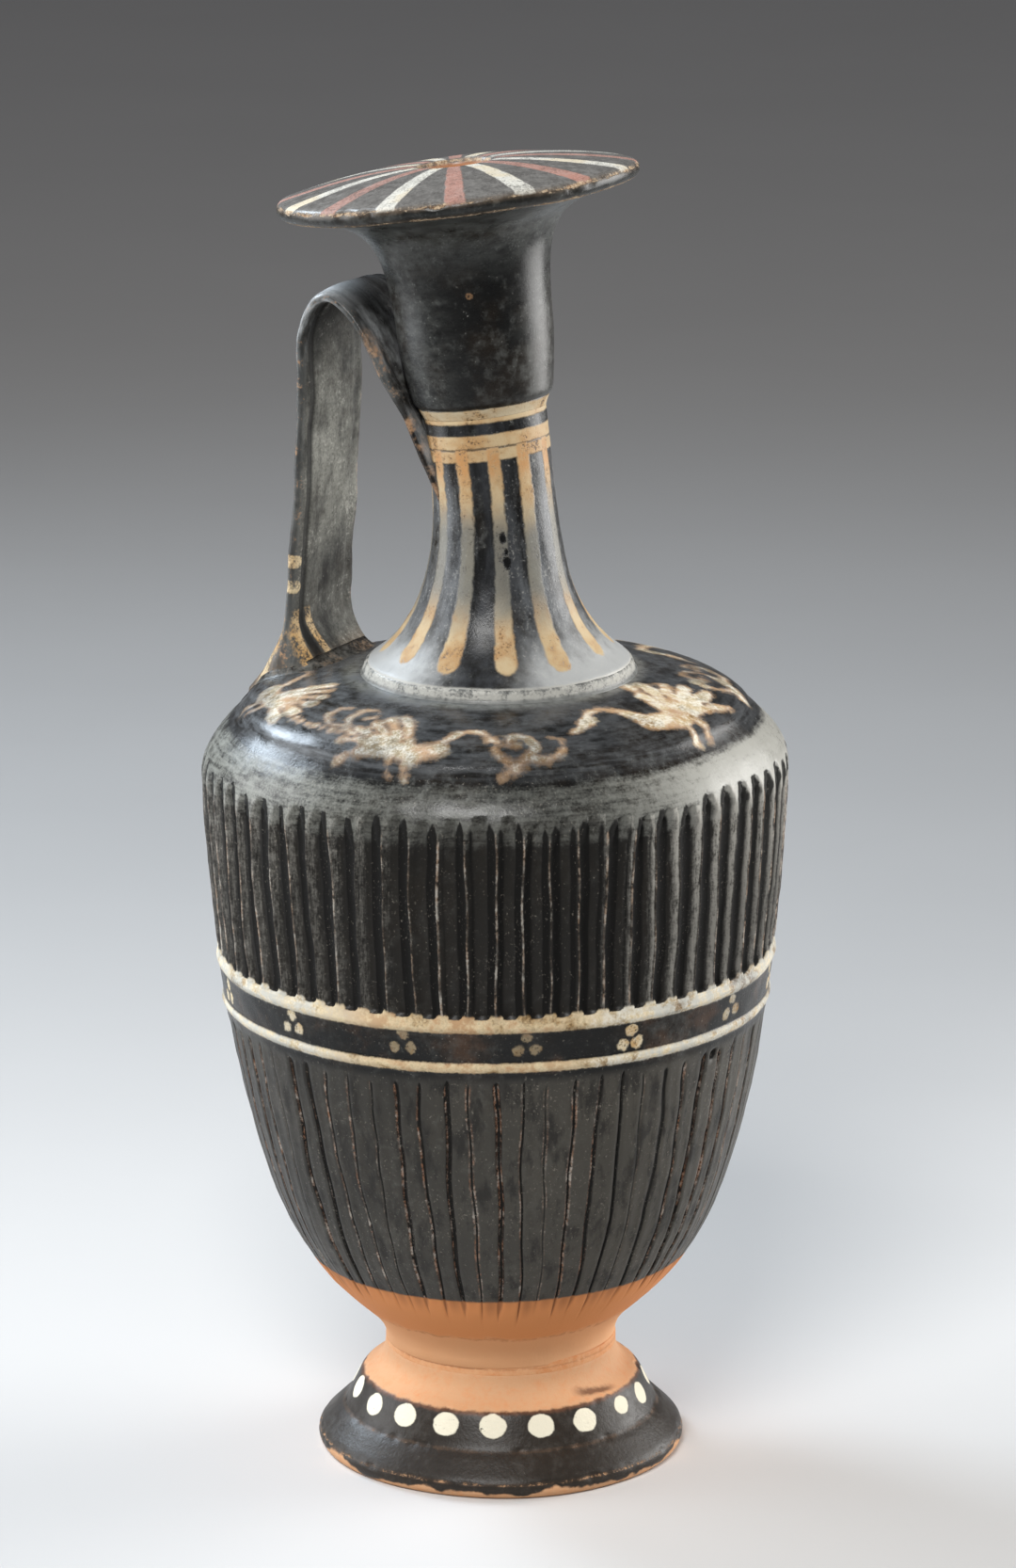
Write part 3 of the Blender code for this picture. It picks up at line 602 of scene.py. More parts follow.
# The birds are laid out flat, in strokes of points with a first and a last half width: x runs along the
# shoulder and y from its edge towards the neck.
WATERBIRD = (
    ([(2.5, 6.5), (6, 5.6), (10.5, 6.4), (14, 7.4)], 1.5, 2.0),
    ([(3, 7.2), (0.5, 9.8), (-2.4, 11.6), (-5.2, 11), (-7, 9)], 0.75, 0.42),
    ([(-7, 9), (-7.8, 8.4)], 0.85, 0.75),
    ([(-7.9, 8.3), (-10.2, 7.1)], 0.45, 0.2),
    ([(8, 7), (9.5, 11), (12, 14.2)], 1.1, 0.7),
    ([(9.5, 7), (12, 10.5), (15, 13.2)], 1.1, 0.75),
    ([(11, 7), (14.5, 9.8), (17.8, 11.6)], 1.1, 0.75),
    ([(12.5, 7), (16, 8.6), (19.6, 9.4)], 1.1, 0.7),
    ([(13, 6.6), (17, 6.8), (20.4, 6.6)], 1.0, 0.6),
    ([(12, 5.8), (16, 4.8), (18.6, 3.6)], 0.9, 0.5),
    ([(7, 5), (7.4, 3), (6.2, 2.2)], 0.4, 0.3),
    ([(9.5, 5), (10, 3), (8.8, 2.2)], 0.4, 0.3),
)
TENDRIL = (
    ([(-9, 2.5), (-5, 4.2), (-1.5, 7.5), (-2.5, 11), (-6, 11.8), (-7.6, 9.4), (-5.8, 8.2)], 0.6, 0.45),
    ([(-3.6, 5.2), (0.6, 4.6), (4.2, 6.6), (4.4, 9.6), (2, 10.4)], 0.55, 0.4),
    ([(-6.4, 3.4), (-9.5, 5.6), (-10.4, 8)], 0.7, 0.4),
)
DOTTED_LINE = tuple(([(1.9 * i, 0.042 * (i - 4) ** 2)] * 2, 0.62, 0.62) for i in range(8))


def dabs(strokes, middle, edge_radius, scale, side, drop):
    """Brush dabs (angle, radius, half width) of a flat figure set on the shoulder at an angle in degrees."""
    made = []
    for points, first, last in strokes:
        line = np.array(points, float)
        line = line[:1] if points[0] == points[-1] else evened(line, 0.35, 5)
        half = np.linspace(first, last, len(line)) * scale
        round_radius = edge_radius - scale * (line[:, 1] + drop)
        across = side * scale * line[:, 0] / edge_radius
        made.append(np.stack([math.radians(middle) + across, round_radius, half], 1))
    return np.concatenate(made)


figures = np.concatenate([
    dabs(WATERBIRD, 40, 43.0, 1.38, 1, -1.0),
    dabs(WATERBIRD, -10, 43.0, 1.05, -1, -2.0),
    dabs(TENDRIL, 12, 43.5, 0.85, 1, -1.0),
    dabs(DOTTED_LINE, -62, 37.0, 1.0, 1, 0.0),
    dabs(WATERBIRD, -92, 42.5, 1.1, 1, -0.5),
    dabs(TENDRIL, -46, 42.0, 0.95, -1, 2.0),
    dabs(DOTTED_LINE, 84, 33.5, 0.9, 1, 0.0),
    dabs(TENDRIL, 98, 43.0, 1.1, 1, 0.0),
    dabs(WATERBIRD, 128, 43.0, 1.3, 1, -1.0),
    dabs(TENDRIL, 178, 43.0, 1.1, -1, 0.0),
    dabs(WATERBIRD, 222, 43.0, 1.25, -1, -1.0),
    dabs(DOTTED_LINE, 232, 34.0, 1.0, 1, 0.0),
])
FAR_OFF = 6.0
first_row = int(np.argmax(height[:, 0] > 100.5))
shoulder_turns, shoulder_radii = turn[first_row:], outer[first_row:, :1]
figure = np.full(turn.shape, FAR_OFF)
for dab_turn, dab_radius, dab_half in figures:
    around = (shoulder_turns - dab_turn + math.pi) % math.tau - math.pi
    gap = np.hypot(around * shoulder_radii, shoulder_radii - dab_radius) - dab_half
    np.minimum(figure[first_row:], gap, out=figure[first_row:])


def with_inside(marks, fill):
    """Values of the outer rings, followed by one value for the rings inside."""
    return np.concatenate([marks, np.full((len(inner), *marks.shape[1:]), fill)])


def leaned(points):
    """Straight points of what stands on the body's axis, at their real place."""
    sine, cosine = math.sin(BODY_LEAN), math.cos(BODY_LEAN)
    x, y, z = np.moveaxis(points, -1, 0)
    return np.stack([cosine * x - sine * z, y, sine * x + cosine * z + BODY_BASE], -1)


body_glaze = Glaze("body_black_gloss")
place, x, y, z = turned_place(body_glaze)
angle, radius = round_axis(x, y)
rib_mark = body_glaze.mark("rib")
cut_mark = body_glaze.mark("cut")
flute_shade_mark = body_glaze.mark("flute_shade")
lit_flank_mark = body_glaze.mark("lime_and_lit_flank")
figure_mark = body_glaze.mark("figure")
share_cosine, share_sine, flute_top = split(body_glaze, body_glaze.mark("flute_place", "Vector"))
share_here = share_sine.math("ARCTAN2", share_sine, share_cosine) / math.tau % 1
below_top = ((flute_top + 0.5 - z) / 2.6).most(0).least(1) ** 0.5
in_flute = (0.47 * below_top - abs(share_here - 0.5)).rise(-0.03, 0.05)
in_lower = z.rise(58, 56)
in_upper = z.rise(66.5, 67.5) * z.rise(101.5, 99.5)
on_edge = z.near(100.6, 5.3, 1.9)
on_dome = z.rise(104.5, 107.5)

black, roughness, mottle, speck = fired_black(body_glaze, place, 0.45 + 0.35 * on_edge + 0.3 * in_lower)
patch = body_glaze.noise(place, 0.11, 4)
smudge = body_glaze.noise(place, 0.24, 4, 0.6)
streak = body_glaze.noise(stretched(body_glaze, place, (1, 1, 0.12)), 0.9, 4, 0.6)
wiped = body_glaze.noise(stretched(body_glaze, place, (0.16, 0.16, 1.5)), 1.0, 4, 0.6)
scraped = body_glaze.noise(stretched(body_glaze, place, (1.6, 1.6, 0.22)), 2.0, 4, 0.7)
scratch = body_glaze.noise(stretched(body_glaze, place, (2.2, 2.2, 1.0)), 1.0, 4, 0.65)
dull = body_glaze.noise(stretched(body_glaze, place, (1, 1, 0.35)), 0.34, 4, 0.65)
gapped = body_glaze.noise(stretched(body_glaze, place, (1, 1, 0.5)), 0.5, 3, 0.6).rise(0.43, 0.60)

# The lower ribs are painted greyer towards the right side: painted light over their patchy grey.
lit_side = angle.rise(-50, 40)
black = body_glaze.blend(black, LOWER_GREY, in_lower * (0.15 + 0.5 * patch + 0.4 * lit_side))
black = body_glaze.blend(black, RIB_BLACK, in_upper * (0.3 + 0.7 * streak))
# The shoulder edge's frost is part lime deposit, part painted sheen: it is painted stronger towards the
# sides and paler on the right side.
right_side = angle.rise(14, 58) * angle.rise(150, 110)
flaky = wiped * 0.5 + mottle * 0.35 + speck * 0.35 + 0.16 * right_side
sideward = abs(angle).rise(12, 50)
frost_and_sheen = (on_edge * flaky).rise(0.40, 0.74) * (1 - 0.3 * in_flute) * (0.42 + 0.58 * sideward)
by_neck = radius.near(22.8, 1.6, 1.4) * z.rise(110, 111)
frost_and_sheen = frost_and_sheen.most(by_neck * (0.25 + mottle).rise(0.4, 1.0) * 0.9)
black = body_glaze.blend(black, body_glaze.blend(FROST, FROST_SHEEN, right_side), frost_and_sheen * 0.78)
# Haze on the dome with a painted sheen, stronger towards the left side.
dome_haze_and_sheen = on_dome * (wiped * 0.8 + mottle * 0.3).rise(0.36, 0.74) * (0.5 + 0.4 * angle.rise(5, -50))
black = body_glaze.blend(black, DOME_SHEEN_HAZE, dome_haze_and_sheen)
scuffed = 2.4 * (0.4 * streak + 0.7 * scraped + 0.4 * mottle + 0.4 * speck) - 1.4
# The pale painted light on the flanks, broken up by scuffs and stronger towards the flutes' tops.
painted_lit_flank = (lit_flank_mark * scuffed).rise(0.22, 1.15)
black = body_glaze.blend(black, FLANK_LIGHT, painted_lit_flank * (0.55 + 0.42 * z.rise(76, 99)))
# Painted shade on the flute walls, the grooves and the pit, thinned out towards the flutes' tops.
narrowed = 1.5 * (1 - below_top) * (1 - in_lower)
painted_flute_shade = (flute_shade_mark * (0.35 + 0.9 * streak + 0.45 * mottle) - narrowed).rise(0.22, 0.58)
black = body_glaze.blend(black, FLUTE_SHADE, painted_flute_shade * 0.95)
black = body_glaze.blend(black, DULL_BLACK, in_lower * dull.rise(0.48, 0.66) * 0.85)
flecked = (speck + 0.55 * scratch + 0.25 * patch + 0.015 * in_lower).rise(1.03, 1.20) * z.rise(108, 104)
black = body_glaze.blend(black, FLECK, flecked * 0.45)

broken = (mottle * 0.7 + scratch * 0.6 + 0.03 * (1 - in_lower)).rise(0.55, 0.67)
rubbing = rib_mark * (1 + 1.5 * in_lower) * (0.3 + speck)
rubbed = (rubbing * (0.2 + 0.9 * streak + 0.7 * mottle)).rise(0.24, 0.68) * broken * (0.2 + 0.8 * gapped)
rubbed_pale = (mottle * 0.8 + speck * 0.4 + patch * 0.4 - 0.03 * in_lower).rise(0.68, 0.95)
rubbed_colour = body_glaze.blend(body_glaze.blend(RIB_TAN, GROOVE_TAN, in_lower), LIME, rubbed_pale * 0.8)
black = body_glaze.blend(black, rubbed_colour, rubbed * 0.75)

wash = z + 5 * (patch - 0.5) + 1.5 * (mottle - 0.5)
clay = body_glaze.blend(PEACH, ORANGE, 0.35 * wash.rise(-2, 6) + 0.65 * wash.rise(5.8, 7.4))
clay = body_glaze.blend(clay, WASH_LINE, wash.near(6.4, 0.3, 0.25) * streak.rise(0.4, 0.6) * 0.5)
clay = body_glaze.blend(clay, GLOSS_RUN, cut_mark.rise(0.05, 0.3) * 0.7)
gloss_edge = z + 0.7 * (patch - 0.5) + 0.5 * (mottle - 0.5)
glossed = gloss_edge.rise(GLOSS_END - 0.25, GLOSS_END + 0.25)
colour = body_glaze.blend(clay, black, glossed)

line_place = z + 0.5 * (mottle - 0.5) + 0.35 * (speck - 0.5)
cusp = (z + 1.2 * (mottle - 0.5)).near(UPPER_FLUTES[0], 0.8, 0.3)
cusp = cusp * (cut_mark + 0.5 * (mottle - 0.5)).rise(0.42, 0.16)
upper_line = line_place.near(BELT_LINES[1], 0.85, 0.2).most(cusp)
lines = upper_line.most(line_place.near(BELT_LINES[0], 0.8, 0.2))
line_kept = (patch * 0.9 + mottle * 0.5 + speck * 0.25).rise(0.50, 0.85)

trefoil_number, across_trefoil = cells(angle, TREFOILS, 4.5)
trefoil_luck = luck_of(body_glaze, trefoil_number, 0.21)
trefoil_x = (across_trefoil + 0.16 * (trefoil_luck - 0.5)) * (math.tau / TREFOILS * TREFOIL_ROW[0])
trefoil_z = z - TREFOIL_ROW[1] + 0.7 * (trefoil_luck - 0.5)
to_petal = FAR_OFF
for petal_x, petal_z in TREFOIL_PETALS:
    to_petal = distance(trefoil_x - petal_x, trefoil_z - petal_z).least(to_petal)
trefoil = (to_petal + 2.0 * (mottle - 0.5)).rise(1.15, 0.7)
trefoil = trefoil * (0.4 + 0.5 * trefoil_luck.rise(0.1, 0.5) + 0.6 * (patch - 0.5))

bird_edge = figure_mark + 3.4 * (smudge - 0.5) + 2.0 * (mottle - 0.5) + 0.9 * (speck - 0.5)
fresh = 0.14 * angle.near(52, 24, 14)
bird_kept = (patch * 0.5 + smudge * 0.5 + mottle * 0.3 + speck * 0.3 + fresh).rise(0.66, 0.98)
bird_paint = bird_edge.rise(0.85, -0.35) * (0.25 + 0.75 * bird_kept)
paint = (lines * line_kept).most(trefoil * speck.rise(0.3, 0.45)).most(bird_paint)

paint_colour = body_glaze.blend(OCHRE, CREAM, (patch * 0.8 + mottle * 0.4).rise(0.42, 0.58))
browned = angle.near(-8, 24, 14) * z.near(BELT_MIDDLE, 6.5, 0.8)
whitish = (mottle * 0.7 + speck * 0.5 - 0.3 * browned).rise(0.52, 0.70) * (1 - 0.7 * trefoil)
paint_colour = body_glaze.blend(paint_colour, WHITE, whitish * 0.8)
paint_colour = body_glaze.blend(paint_colour, LINE_STAIN, browned * (patch + mottle).rise(0.85, 1.15) * 0.8)
line_whitened = abs(angle + 4).rise(16, 44) * lines * (mottle + 0.6 * wiped).rise(0.55, 0.95)
paint_colour = body_glaze.blend(paint_colour, LINE_WHITE, line_whitened * 0.9)
bird_outline = z.rise(101, 102) * (0.16 * figure_mark.rise(-0.9, 0.4) + smudge).rise(0.48, 0.66)
paint_colour = body_glaze.blend(paint_colour, TAN, bird_outline * 0.8)
belt_brown = z.near(BELT_MIDDLE, 4.4, 0.8) * patch.rise(0.5, 0.66)
colour = body_glaze.blend(colour, BELT_BROWN, belt_brown * 0.3)
colour = body_glaze.blend(colour, paint_colour, paint)
roughness = roughness * (1 - 0.36 * z.rise(104, 107)) + 0.14 * in_lower.most(in_upper)
roughness = roughness + (0.9 - roughness) * painted_flute_shade
roughness = 0.74 + (roughness - 0.74) * glossed * (1 - paint) * (1 - 0.6 * rubbed)
body_glaze.coat(colour, roughness, 0.03 * speck + 0.05 * paint + 0.03 * streak - 0.03 * rubbed)
body_marks = {
    "turned": np.concatenate([body_straight, inner_straight]),
    "rib": with_inside(rib, 0.0),
    "cut": with_inside(cut + pit, 0.0),
    "flute_shade": with_inside(flute_shade, 0.0),
    "lime_and_lit_flank": with_inside(lime_and_lit_flank, 0.0),
    "figure": with_inside(figure, FAR_OFF),
    "flute_place": with_inside(flute_place, [1, 0, 0]),
}
body = clay_piece("ribbed_body", leaned(body_marks["turned"]), False, body_glaze, body_marks)
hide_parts("body")

# Neck joint: the ring of slip that lutes the neck's flared base to the shoulder, smoothed with a wet
# finger and lined in white, now rubbed grey and crusted with lime.
NECK_OFFSET = 0.9
NECK_LENGTH = 41.7
BEND_START = 17.0
BEND_END = 33.0
NECK_BEND = math.radians(7.3)
BEND_TURN = math.radians(149)
BEND_RADIUS = (BEND_END - BEND_START) / NECK_BEND
NECK_SEAT = SHOULDER_SEAT[1] + JOINT
NECK_SLIP = [
    (20.4, -1.75), (22.7, -1.62), (22.25, -1.2), (21.95, -0.5), (21.75, 0.2), (21.45, 0.62), (20.4, 0.5),
]
RING_GREY = (0.20, 0.205, 0.195, 1)


def set_on_neck(points):
    """Straight points above the shoulder, at their real place on the bent neck and the leaning body."""
    x, y, z = np.moveaxis(points, -1, 0)
    toward, beside = math.cos(BEND_TURN), math.sin(BEND_TURN)
    turned_by = NECK_BEND * np.clip((z - BEND_START) / (BEND_END - BEND_START), 0, 1)
    beyond = np.maximum(z - BEND_END, 0)
    aside = BEND_RADIUS * (1 - np.cos(turned_by)) + beyond * np.sin(turned_by)
    up = np.minimum(z, BEND_START) + BEND_RADIUS * np.sin(turned_by) + beyond * np.cos(turned_by)
    along_bend = (x * toward + y * beside) * np.cos(turned_by) + aside
    up = up - (x * toward + y * beside) * np.sin(turned_by)
    across_bend = y * toward - x * beside
    bent_x = along_bend * toward - across_bend * beside + NECK_OFFSET
    bent_y = along_bend * beside + across_bend * toward
    return leaned(np.stack([bent_x, bent_y, up + NECK_SEAT], -1))


ring_straight = slip_ring(NECK_SLIP, 0.2, 2, 192)
ring_glaze = Glaze("neck_joint_slip")
place, x, y, z = turned_place(ring_glaze)
black, roughness, mottle, speck = fired_black(ring_glaze, place, 0.9)
line = (z + 0.8 * (mottle - 0.5)).near(-0.35, 0.55, 0.25) * (mottle * 0.8 + speck * 0.5).rise(0.48, 0.66)
black = ring_glaze.blend(black, RING_GREY, (0.3 + mottle).rise(0.25, 0.95) * 0.9)
crust = (mottle * 0.8 + speck * 0.6).rise(0.62, 0.80) * z.rise(-1.2, -0.4)
colour = ring_glaze.blend(black, LIME, (line * 0.7).most(crust * 0.85))
ring_glaze.coat(colour, roughness + 0.25 * line, 0.05 * speck + 0.05 * line)
ring_points = set_on_neck(ring_straight)
neck_ring = clay_piece("neck_joint", ring_points, True, ring_glaze, {"turned": ring_straight})
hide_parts("neck_luting_slip")

# Neck: a thrown tube that flares onto the shoulder and sagged a little to one side in drying,
# glossed black, with painted bands at its top and long tongues down its sides.
NECK_BASE = 21.5
NECK_EDGE = 0.7
NECK_RADIUS = 9.85
NECK_FLARE = 31.0
NECK_BORE = 6.4
TONGUES = 12
TONGUE_END = 18.4
TONGUE_HALF = 1.02
TONGUE_TOP = 36.4
DOUBLE_BAND = 36.7
TOP_BAND = 40.7
NECK_PITS = ((6, 22.4, 0.6), (8, 20.3, 0.45), (9, 18.6, 0.65))  # angle, height and size
UNLIT_STRIP = 9  # degrees to the left of the near side, where the base is painted without its sheen and specks, a painted dark strip
NECK_GREY = (0.034, 0.036, 0.040, 1)
NECK_HAZE_SHEEN = (0.150, 0.158, 0.166, 1)
BASE_WHITE_SHEEN = (0.37, 0.378, 0.375, 1)
NECK_OCHRE = (0.40, 0.235, 0.10, 1)
NECK_CREAM = (0.50, 0.39, 0.235, 1)
TONGUE_ORANGE = (0.46, 0.23, 0.085, 1)
TONGUE_FADED = (0.25, 0.255, 0.225, 1)
PIT_BLACK = (0.006, 0.006, 0.006, 1)

drawn = NECK_BASE - NECK_RADIUS
flare = NECK_FLARE - NECK_EDGE
neck_path = np.concatenate([
    [(NECK_BASE - 0.5, -LAP), (NECK_BASE, -0.1), (NECK_BASE, NECK_EDGE)],
    curve((NECK_BASE, NECK_EDGE), (NECK_BASE - 0.67 * drawn, NECK_EDGE + 0.16 * flare),
          (NECK_RADIUS, NECK_EDGE + 0.43 * flare), (NECK_RADIUS, NECK_FLARE), 40),
    [(NECK_RADIUS, NECK_LENGTH + LAP)],
])
bore_path = np.concatenate([
    [(NECK_BORE, NECK_LENGTH + LAP), (NECK_BORE, 17.0)],
    curve((NECK_BORE, 17.0), (NECK_BORE, 9.3), (SHOULDER_OPENING, 6.2), (SHOULDER_OPENING, -LAP), 12),
])
neck_outline = np.concatenate([evened(neck_path, 0.42, 2), evened(bore_path, 2.4)])
neck_straight = turned(neck_outline, 160)
neck_shape = neck_straight.copy()
neck_swell = 0.006 * ripple(neck_straight, 11, 21) + 0.0016 * ripple(neck_straight, 2.2, 22)
neck_shape[..., :2] *= (1 + neck_swell)[..., None]

neck_glaze = Glaze("neck_black_gloss")
place, x, y, z = turned_place(neck_glaze)
angle, radius = round_axis(x, y)
black, roughness, mottle, speck = fired_black(neck_glaze, place, 0.75)
patch = neck_glaze.noise(place, 0.13, 3)
hazy = neck_glaze.noise(stretched(neck_glaze, place, (1, 1, 0.16)), 0.34, 4, 0.6)
at_base = radius.rise(11.5, 20.0)
off_unlit_strip = abs(angle + UNLIT_STRIP)
black = neck_glaze.blend(black, NECK_GREY, hazy.rise(0.35, 0.7))
# Haze with a painted sheen on both sides of the near side, fading out up the neck.
haze_and_side_sheen = (0.9 * hazy + 0.12 * mottle + 0.2 * speck).rise(0.4, 0.8) * z.rise(38, 26)
haze_and_side_sheen = haze_and_side_sheen * abs(angle + 4).rise(9, 34)
black = neck_glaze.blend(black, NECK_HAZE_SHEEN, haze_and_side_sheen * 0.8)
# The base's whitening is part lime crust, part painted sheen: stronger towards the sides and left out on the
# unlit strip.
base_white_and_sheen = at_base * (0.10 + 0.85 * off_unlit_strip.rise(5, 40)) * (0.35 + 0.8 * hazy + 0.5 * mottle)
black = neck_glaze.blend(black, BASE_WHITE_SHEEN, base_white_and_sheen.rise(0.05, 1.0))
# Lime specks, left out on the unlit strip.
flecked = (speck + 0.45 * mottle + 0.3 * (hazy - 0.5)).rise(0.80, 0.98) * off_unlit_strip.rise(4, 22)
black = neck_glaze.blend(black, LIME, flecked * 0.32)

tongue_number, across_tongue = cells(angle, TONGUES, 4)
tongue_luck = luck_of(neck_glaze, tongue_number, 0.4)
aside = (across_tongue + 0.1 * (tongue_luck - 0.5)) * (radius * (math.tau / TONGUES))
half = TONGUE_HALF + 0.10 * (radius - NECK_RADIUS) + 0.3 * (tongue_luck - 0.5)
below = (radius - TONGUE_END - 1.2 * tongue_luck + half).most(0)
tongue = (distance(aside, below) - half + 1.1 * (mottle - 0.5)).rise(0.28, -0.28)
tongue = tongue * z.rise(TONGUE_TOP + 0.6, TONGUE_TOP)
faded = (z + 8 * (patch - 0.5) + 3 * (tongue_luck - 0.5)).near(19, 7.5, 4)
tongue = tongue * (1 - faded * (0.2 + 0.5 * hazy))
split_line = (z + 0.6 * (mottle - 0.5)).near(36.6, 0.18, 0.14)
band_edge = z + 0.5 * (mottle - 0.5)
double_band = band_edge.near(DOUBLE_BAND, 2.1, 0.2) * (1 - 0.75 * split_line)
top_band = band_edge.rise(TOP_BAND - 0.2, TOP_BAND + 0.2)
paint_kept = (patch * 0.4 + mottle * 0.5 + speck * 0.5).rise(0.46, 0.66)
pits = 0
for pit_angle, pit_z, pit_size in NECK_PITS:
    aside = (angle - pit_angle) * (NECK_RADIUS * math.pi / 180)
    to_pit = distance(aside, (z - pit_z) * 0.6) + 0.9 * (mottle - 0.5)
    pits = to_pit.rise(pit_size, pit_size - 0.3).most(pits)
paint = tongue.most(double_band).most(top_band) * paint_kept * (1 - pits)
paint_colour = neck_glaze.blend(NECK_OCHRE, NECK_CREAM, (patch + 0.5 * mottle).rise(0.55, 0.95))
top_ends = z.near(34.2, 2.4, 1.6) * (mottle + 0.5 * speck).rise(0.5, 0.85)
paint_colour = neck_glaze.blend(paint_colour, TONGUE_ORANGE, top_ends * tongue * 0.8)
paint_colour = neck_glaze.blend(paint_colour, TONGUE_FADED, faded * 0.85)
base_line = (z + 0.6 * (mottle - 0.5)).near(0.35, 0.4, 0.2) * (0.3 + mottle).rise(0.5, 0.8)
colour = neck_glaze.blend(black, paint_colour, paint)
colour = neck_glaze.blend(colour, LIME, base_line * 0.8)
colour = neck_glaze.blend(colour, PIT_BLACK, pits)
roughness = 0.6 + (roughness - 0.6) * (1 - 0.7 * paint) * (1 - 0.4 * at_base)
neck_glaze.coat(colour, roughness, 0.04 * speck + 0.06 * paint - 0.25 * pits)
neck = clay_piece("flared_neck", set_on_neck(neck_shape), True, neck_glaze, {"turned": neck_straight})
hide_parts("neck")

# Mouth joint: the slip that lutes the mouth to the neck, rounded with a finger under the mouth's ledge
# and painted over with a band of cream.
MOUTH_BASE = NECK_LENGTH + JOINT
MOUTH_SLIP = [
    (9.2, 41.3), (9.9, 41.3), (10.1, 41.9), (10.45, 42.6), (10.7, 43.2), (10.4, 43.6), (9.2, 43.6),
]
BAND_OCHRE = (0.42, 0.27, 0.13, 1)
BAND_CREAM = (0.52, 0.43, 0.29, 1)

band_straight = slip_ring(MOUTH_SLIP, 0.16, 2, 160)
band_glaze = Glaze("mouth_joint_slip")
place, x, y, z = turned_place(band_glaze)
black, roughness, mottle, speck = fired_black(band_glaze, place, 0.6)
patch = band_glaze.noise(place, 0.2, 3)
paint = (patch * 0.4 + mottle * 0.5 + speck * 0.5).rise(0.46, 0.66)
paint = paint * (z + 0.5 * (mottle - 0.5)).rise(43.2, 42.8)
cream = band_glaze.blend(BAND_OCHRE, BAND_CREAM, (patch + 0.3 * mottle).rise(0.45, 0.75))
colour = band_glaze.blend(black, cream, paint)
band_glaze.coat(colour, roughness + 0.3 * paint, 0.05 * speck + 0.05 * paint)
band_points = set_on_neck(band_straight)
mouth_band = clay_piece("mouth_joint", band_points, True, band_glaze, {"turned": band_straight})
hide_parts("mouth_luting_slip")

# Mouth: a trumpet thrown apart, closed by a wide domed disc lip with a small pouring hole,
# glossed black, with red and white rays on the disc and a chipped rim.
LEDGE = (11.5, 1.9)
MOUTH_WAIST = (12.7, 13.9)
RIM_UNDER = (28.35, 32.7)
RIM_TOP = (28.58, 35.5)
DISC_RADIUS = 29.5
CROWN_HEIGHT = 38.5
HOLE_RADIUS = 5.5
MOUTH_BORE = 9.1
MOUTH_COLUMNS = 224
RAYS = 16
POCK_HEIGHT = 18.5
BRICK = (0.43, 0.205, 0.155, 1)
DISC_DUST_SHEEN = (0.17, 0.160, 0.148, 1)
DISC_FILM = (0.30, 0.285, 0.265, 1)
RIM_BROWN = (0.115, 0.082, 0.055, 1)
LIP_CRUST_SHEEN = (0.165, 0.172, 0.160, 1)
CHIP_BROWN = (0.25, 0.14, 0.07, 1)
CHIP_CREAM = (0.55, 0.42, 0.28, 1)

spread = RIM_UNDER[0] - MOUTH_WAIST[0]
flare = RIM_UNDER[1] - MOUTH_WAIST[1]
mouth_path = np.concatenate([
    [(9.9, -0.2), (10.6, 0)],
    curve((10.6, 0), (11.15, 0.2), (11.4, 0.95), LEDGE, 8),
    curve(LEDGE, (11.98, 4.9), (12.64, 9.1), MOUTH_WAIST, 16),
    curve(MOUTH_WAIST, (MOUTH_WAIST[0] + 0.03 * spread, MOUTH_WAIST[1] + 0.80 * flare),
          (MOUTH_WAIST[0] + 0.20 * spread, MOUTH_WAIST[1] + 0.90 * flare), RIM_UNDER, 50),
    curve(RIM_UNDER, (DISC_RADIUS, 33.55), (DISC_RADIUS + 0.2, 35.0), RIM_TOP, 12),
    curve(RIM_TOP, (21.2, 37.4), (13.6, CROWN_HEIGHT), (HOLE_RADIUS + 0.9, CROWN_HEIGHT), 30),
    [(HOLE_RADIUS + 0.25, CROWN_HEIGHT - 0.3), (HOLE_RADIUS, CROWN_HEIGHT - 0.9), (HOLE_RADIUS, 34.9)],
])
mouth_inside = np.array([
    (MOUTH_BORE, 33.1), (MOUTH_BORE, 25), (MOUTH_BORE, MOUTH_WAIST[1]), (7.6, 6), (NECK_BORE, -0.2),
])
mouth_outline = np.concatenate([evened(mouth_path, 0.42, 2), mouth_inside])
mouth_straight = turned(mouth_outline, MOUTH_COLUMNS)
to_rim = np.minimum(
    np.hypot(*(mouth_outline - RIM_UNDER).T), np.hypot(*(mouth_outline - [DISC_RADIUS - 0.3, 34.9]).T)
)
to_hole = np.hypot(*(mouth_outline - [HOLE_RADIUS + 0.3, CROWN_HEIGHT - 0.3]).T)
rim_mark = np.repeat(np.exp(-(to_rim**2))[:, None], MOUTH_COLUMNS, 1)
hole_mark = np.repeat(np.exp(-((to_hole / 1.3) ** 2))[:, None], MOUTH_COLUMNS, 1)
rim_chips = np.clip(ripple(mouth_straight, 1.5, 31) + 0.5 * ripple(mouth_straight, 0.7, 32) - 0.8, 0, 1.2)
mouth_shape = mouth_straight.copy()
mouth_shape[..., :2] *= (1 - rim_mark * (0.004 + 0.018 * rim_chips))[..., None]
mouth_shape[..., :2] *= (1 + 0.004 * ripple(mouth_straight, 13, 33))[..., None]
mouth_shape[..., 2] += 0.16 * ripple(mouth_straight, 15, 34) * np.clip(mouth_outline[:, :1] / 20 - 0.4, 0, 1)

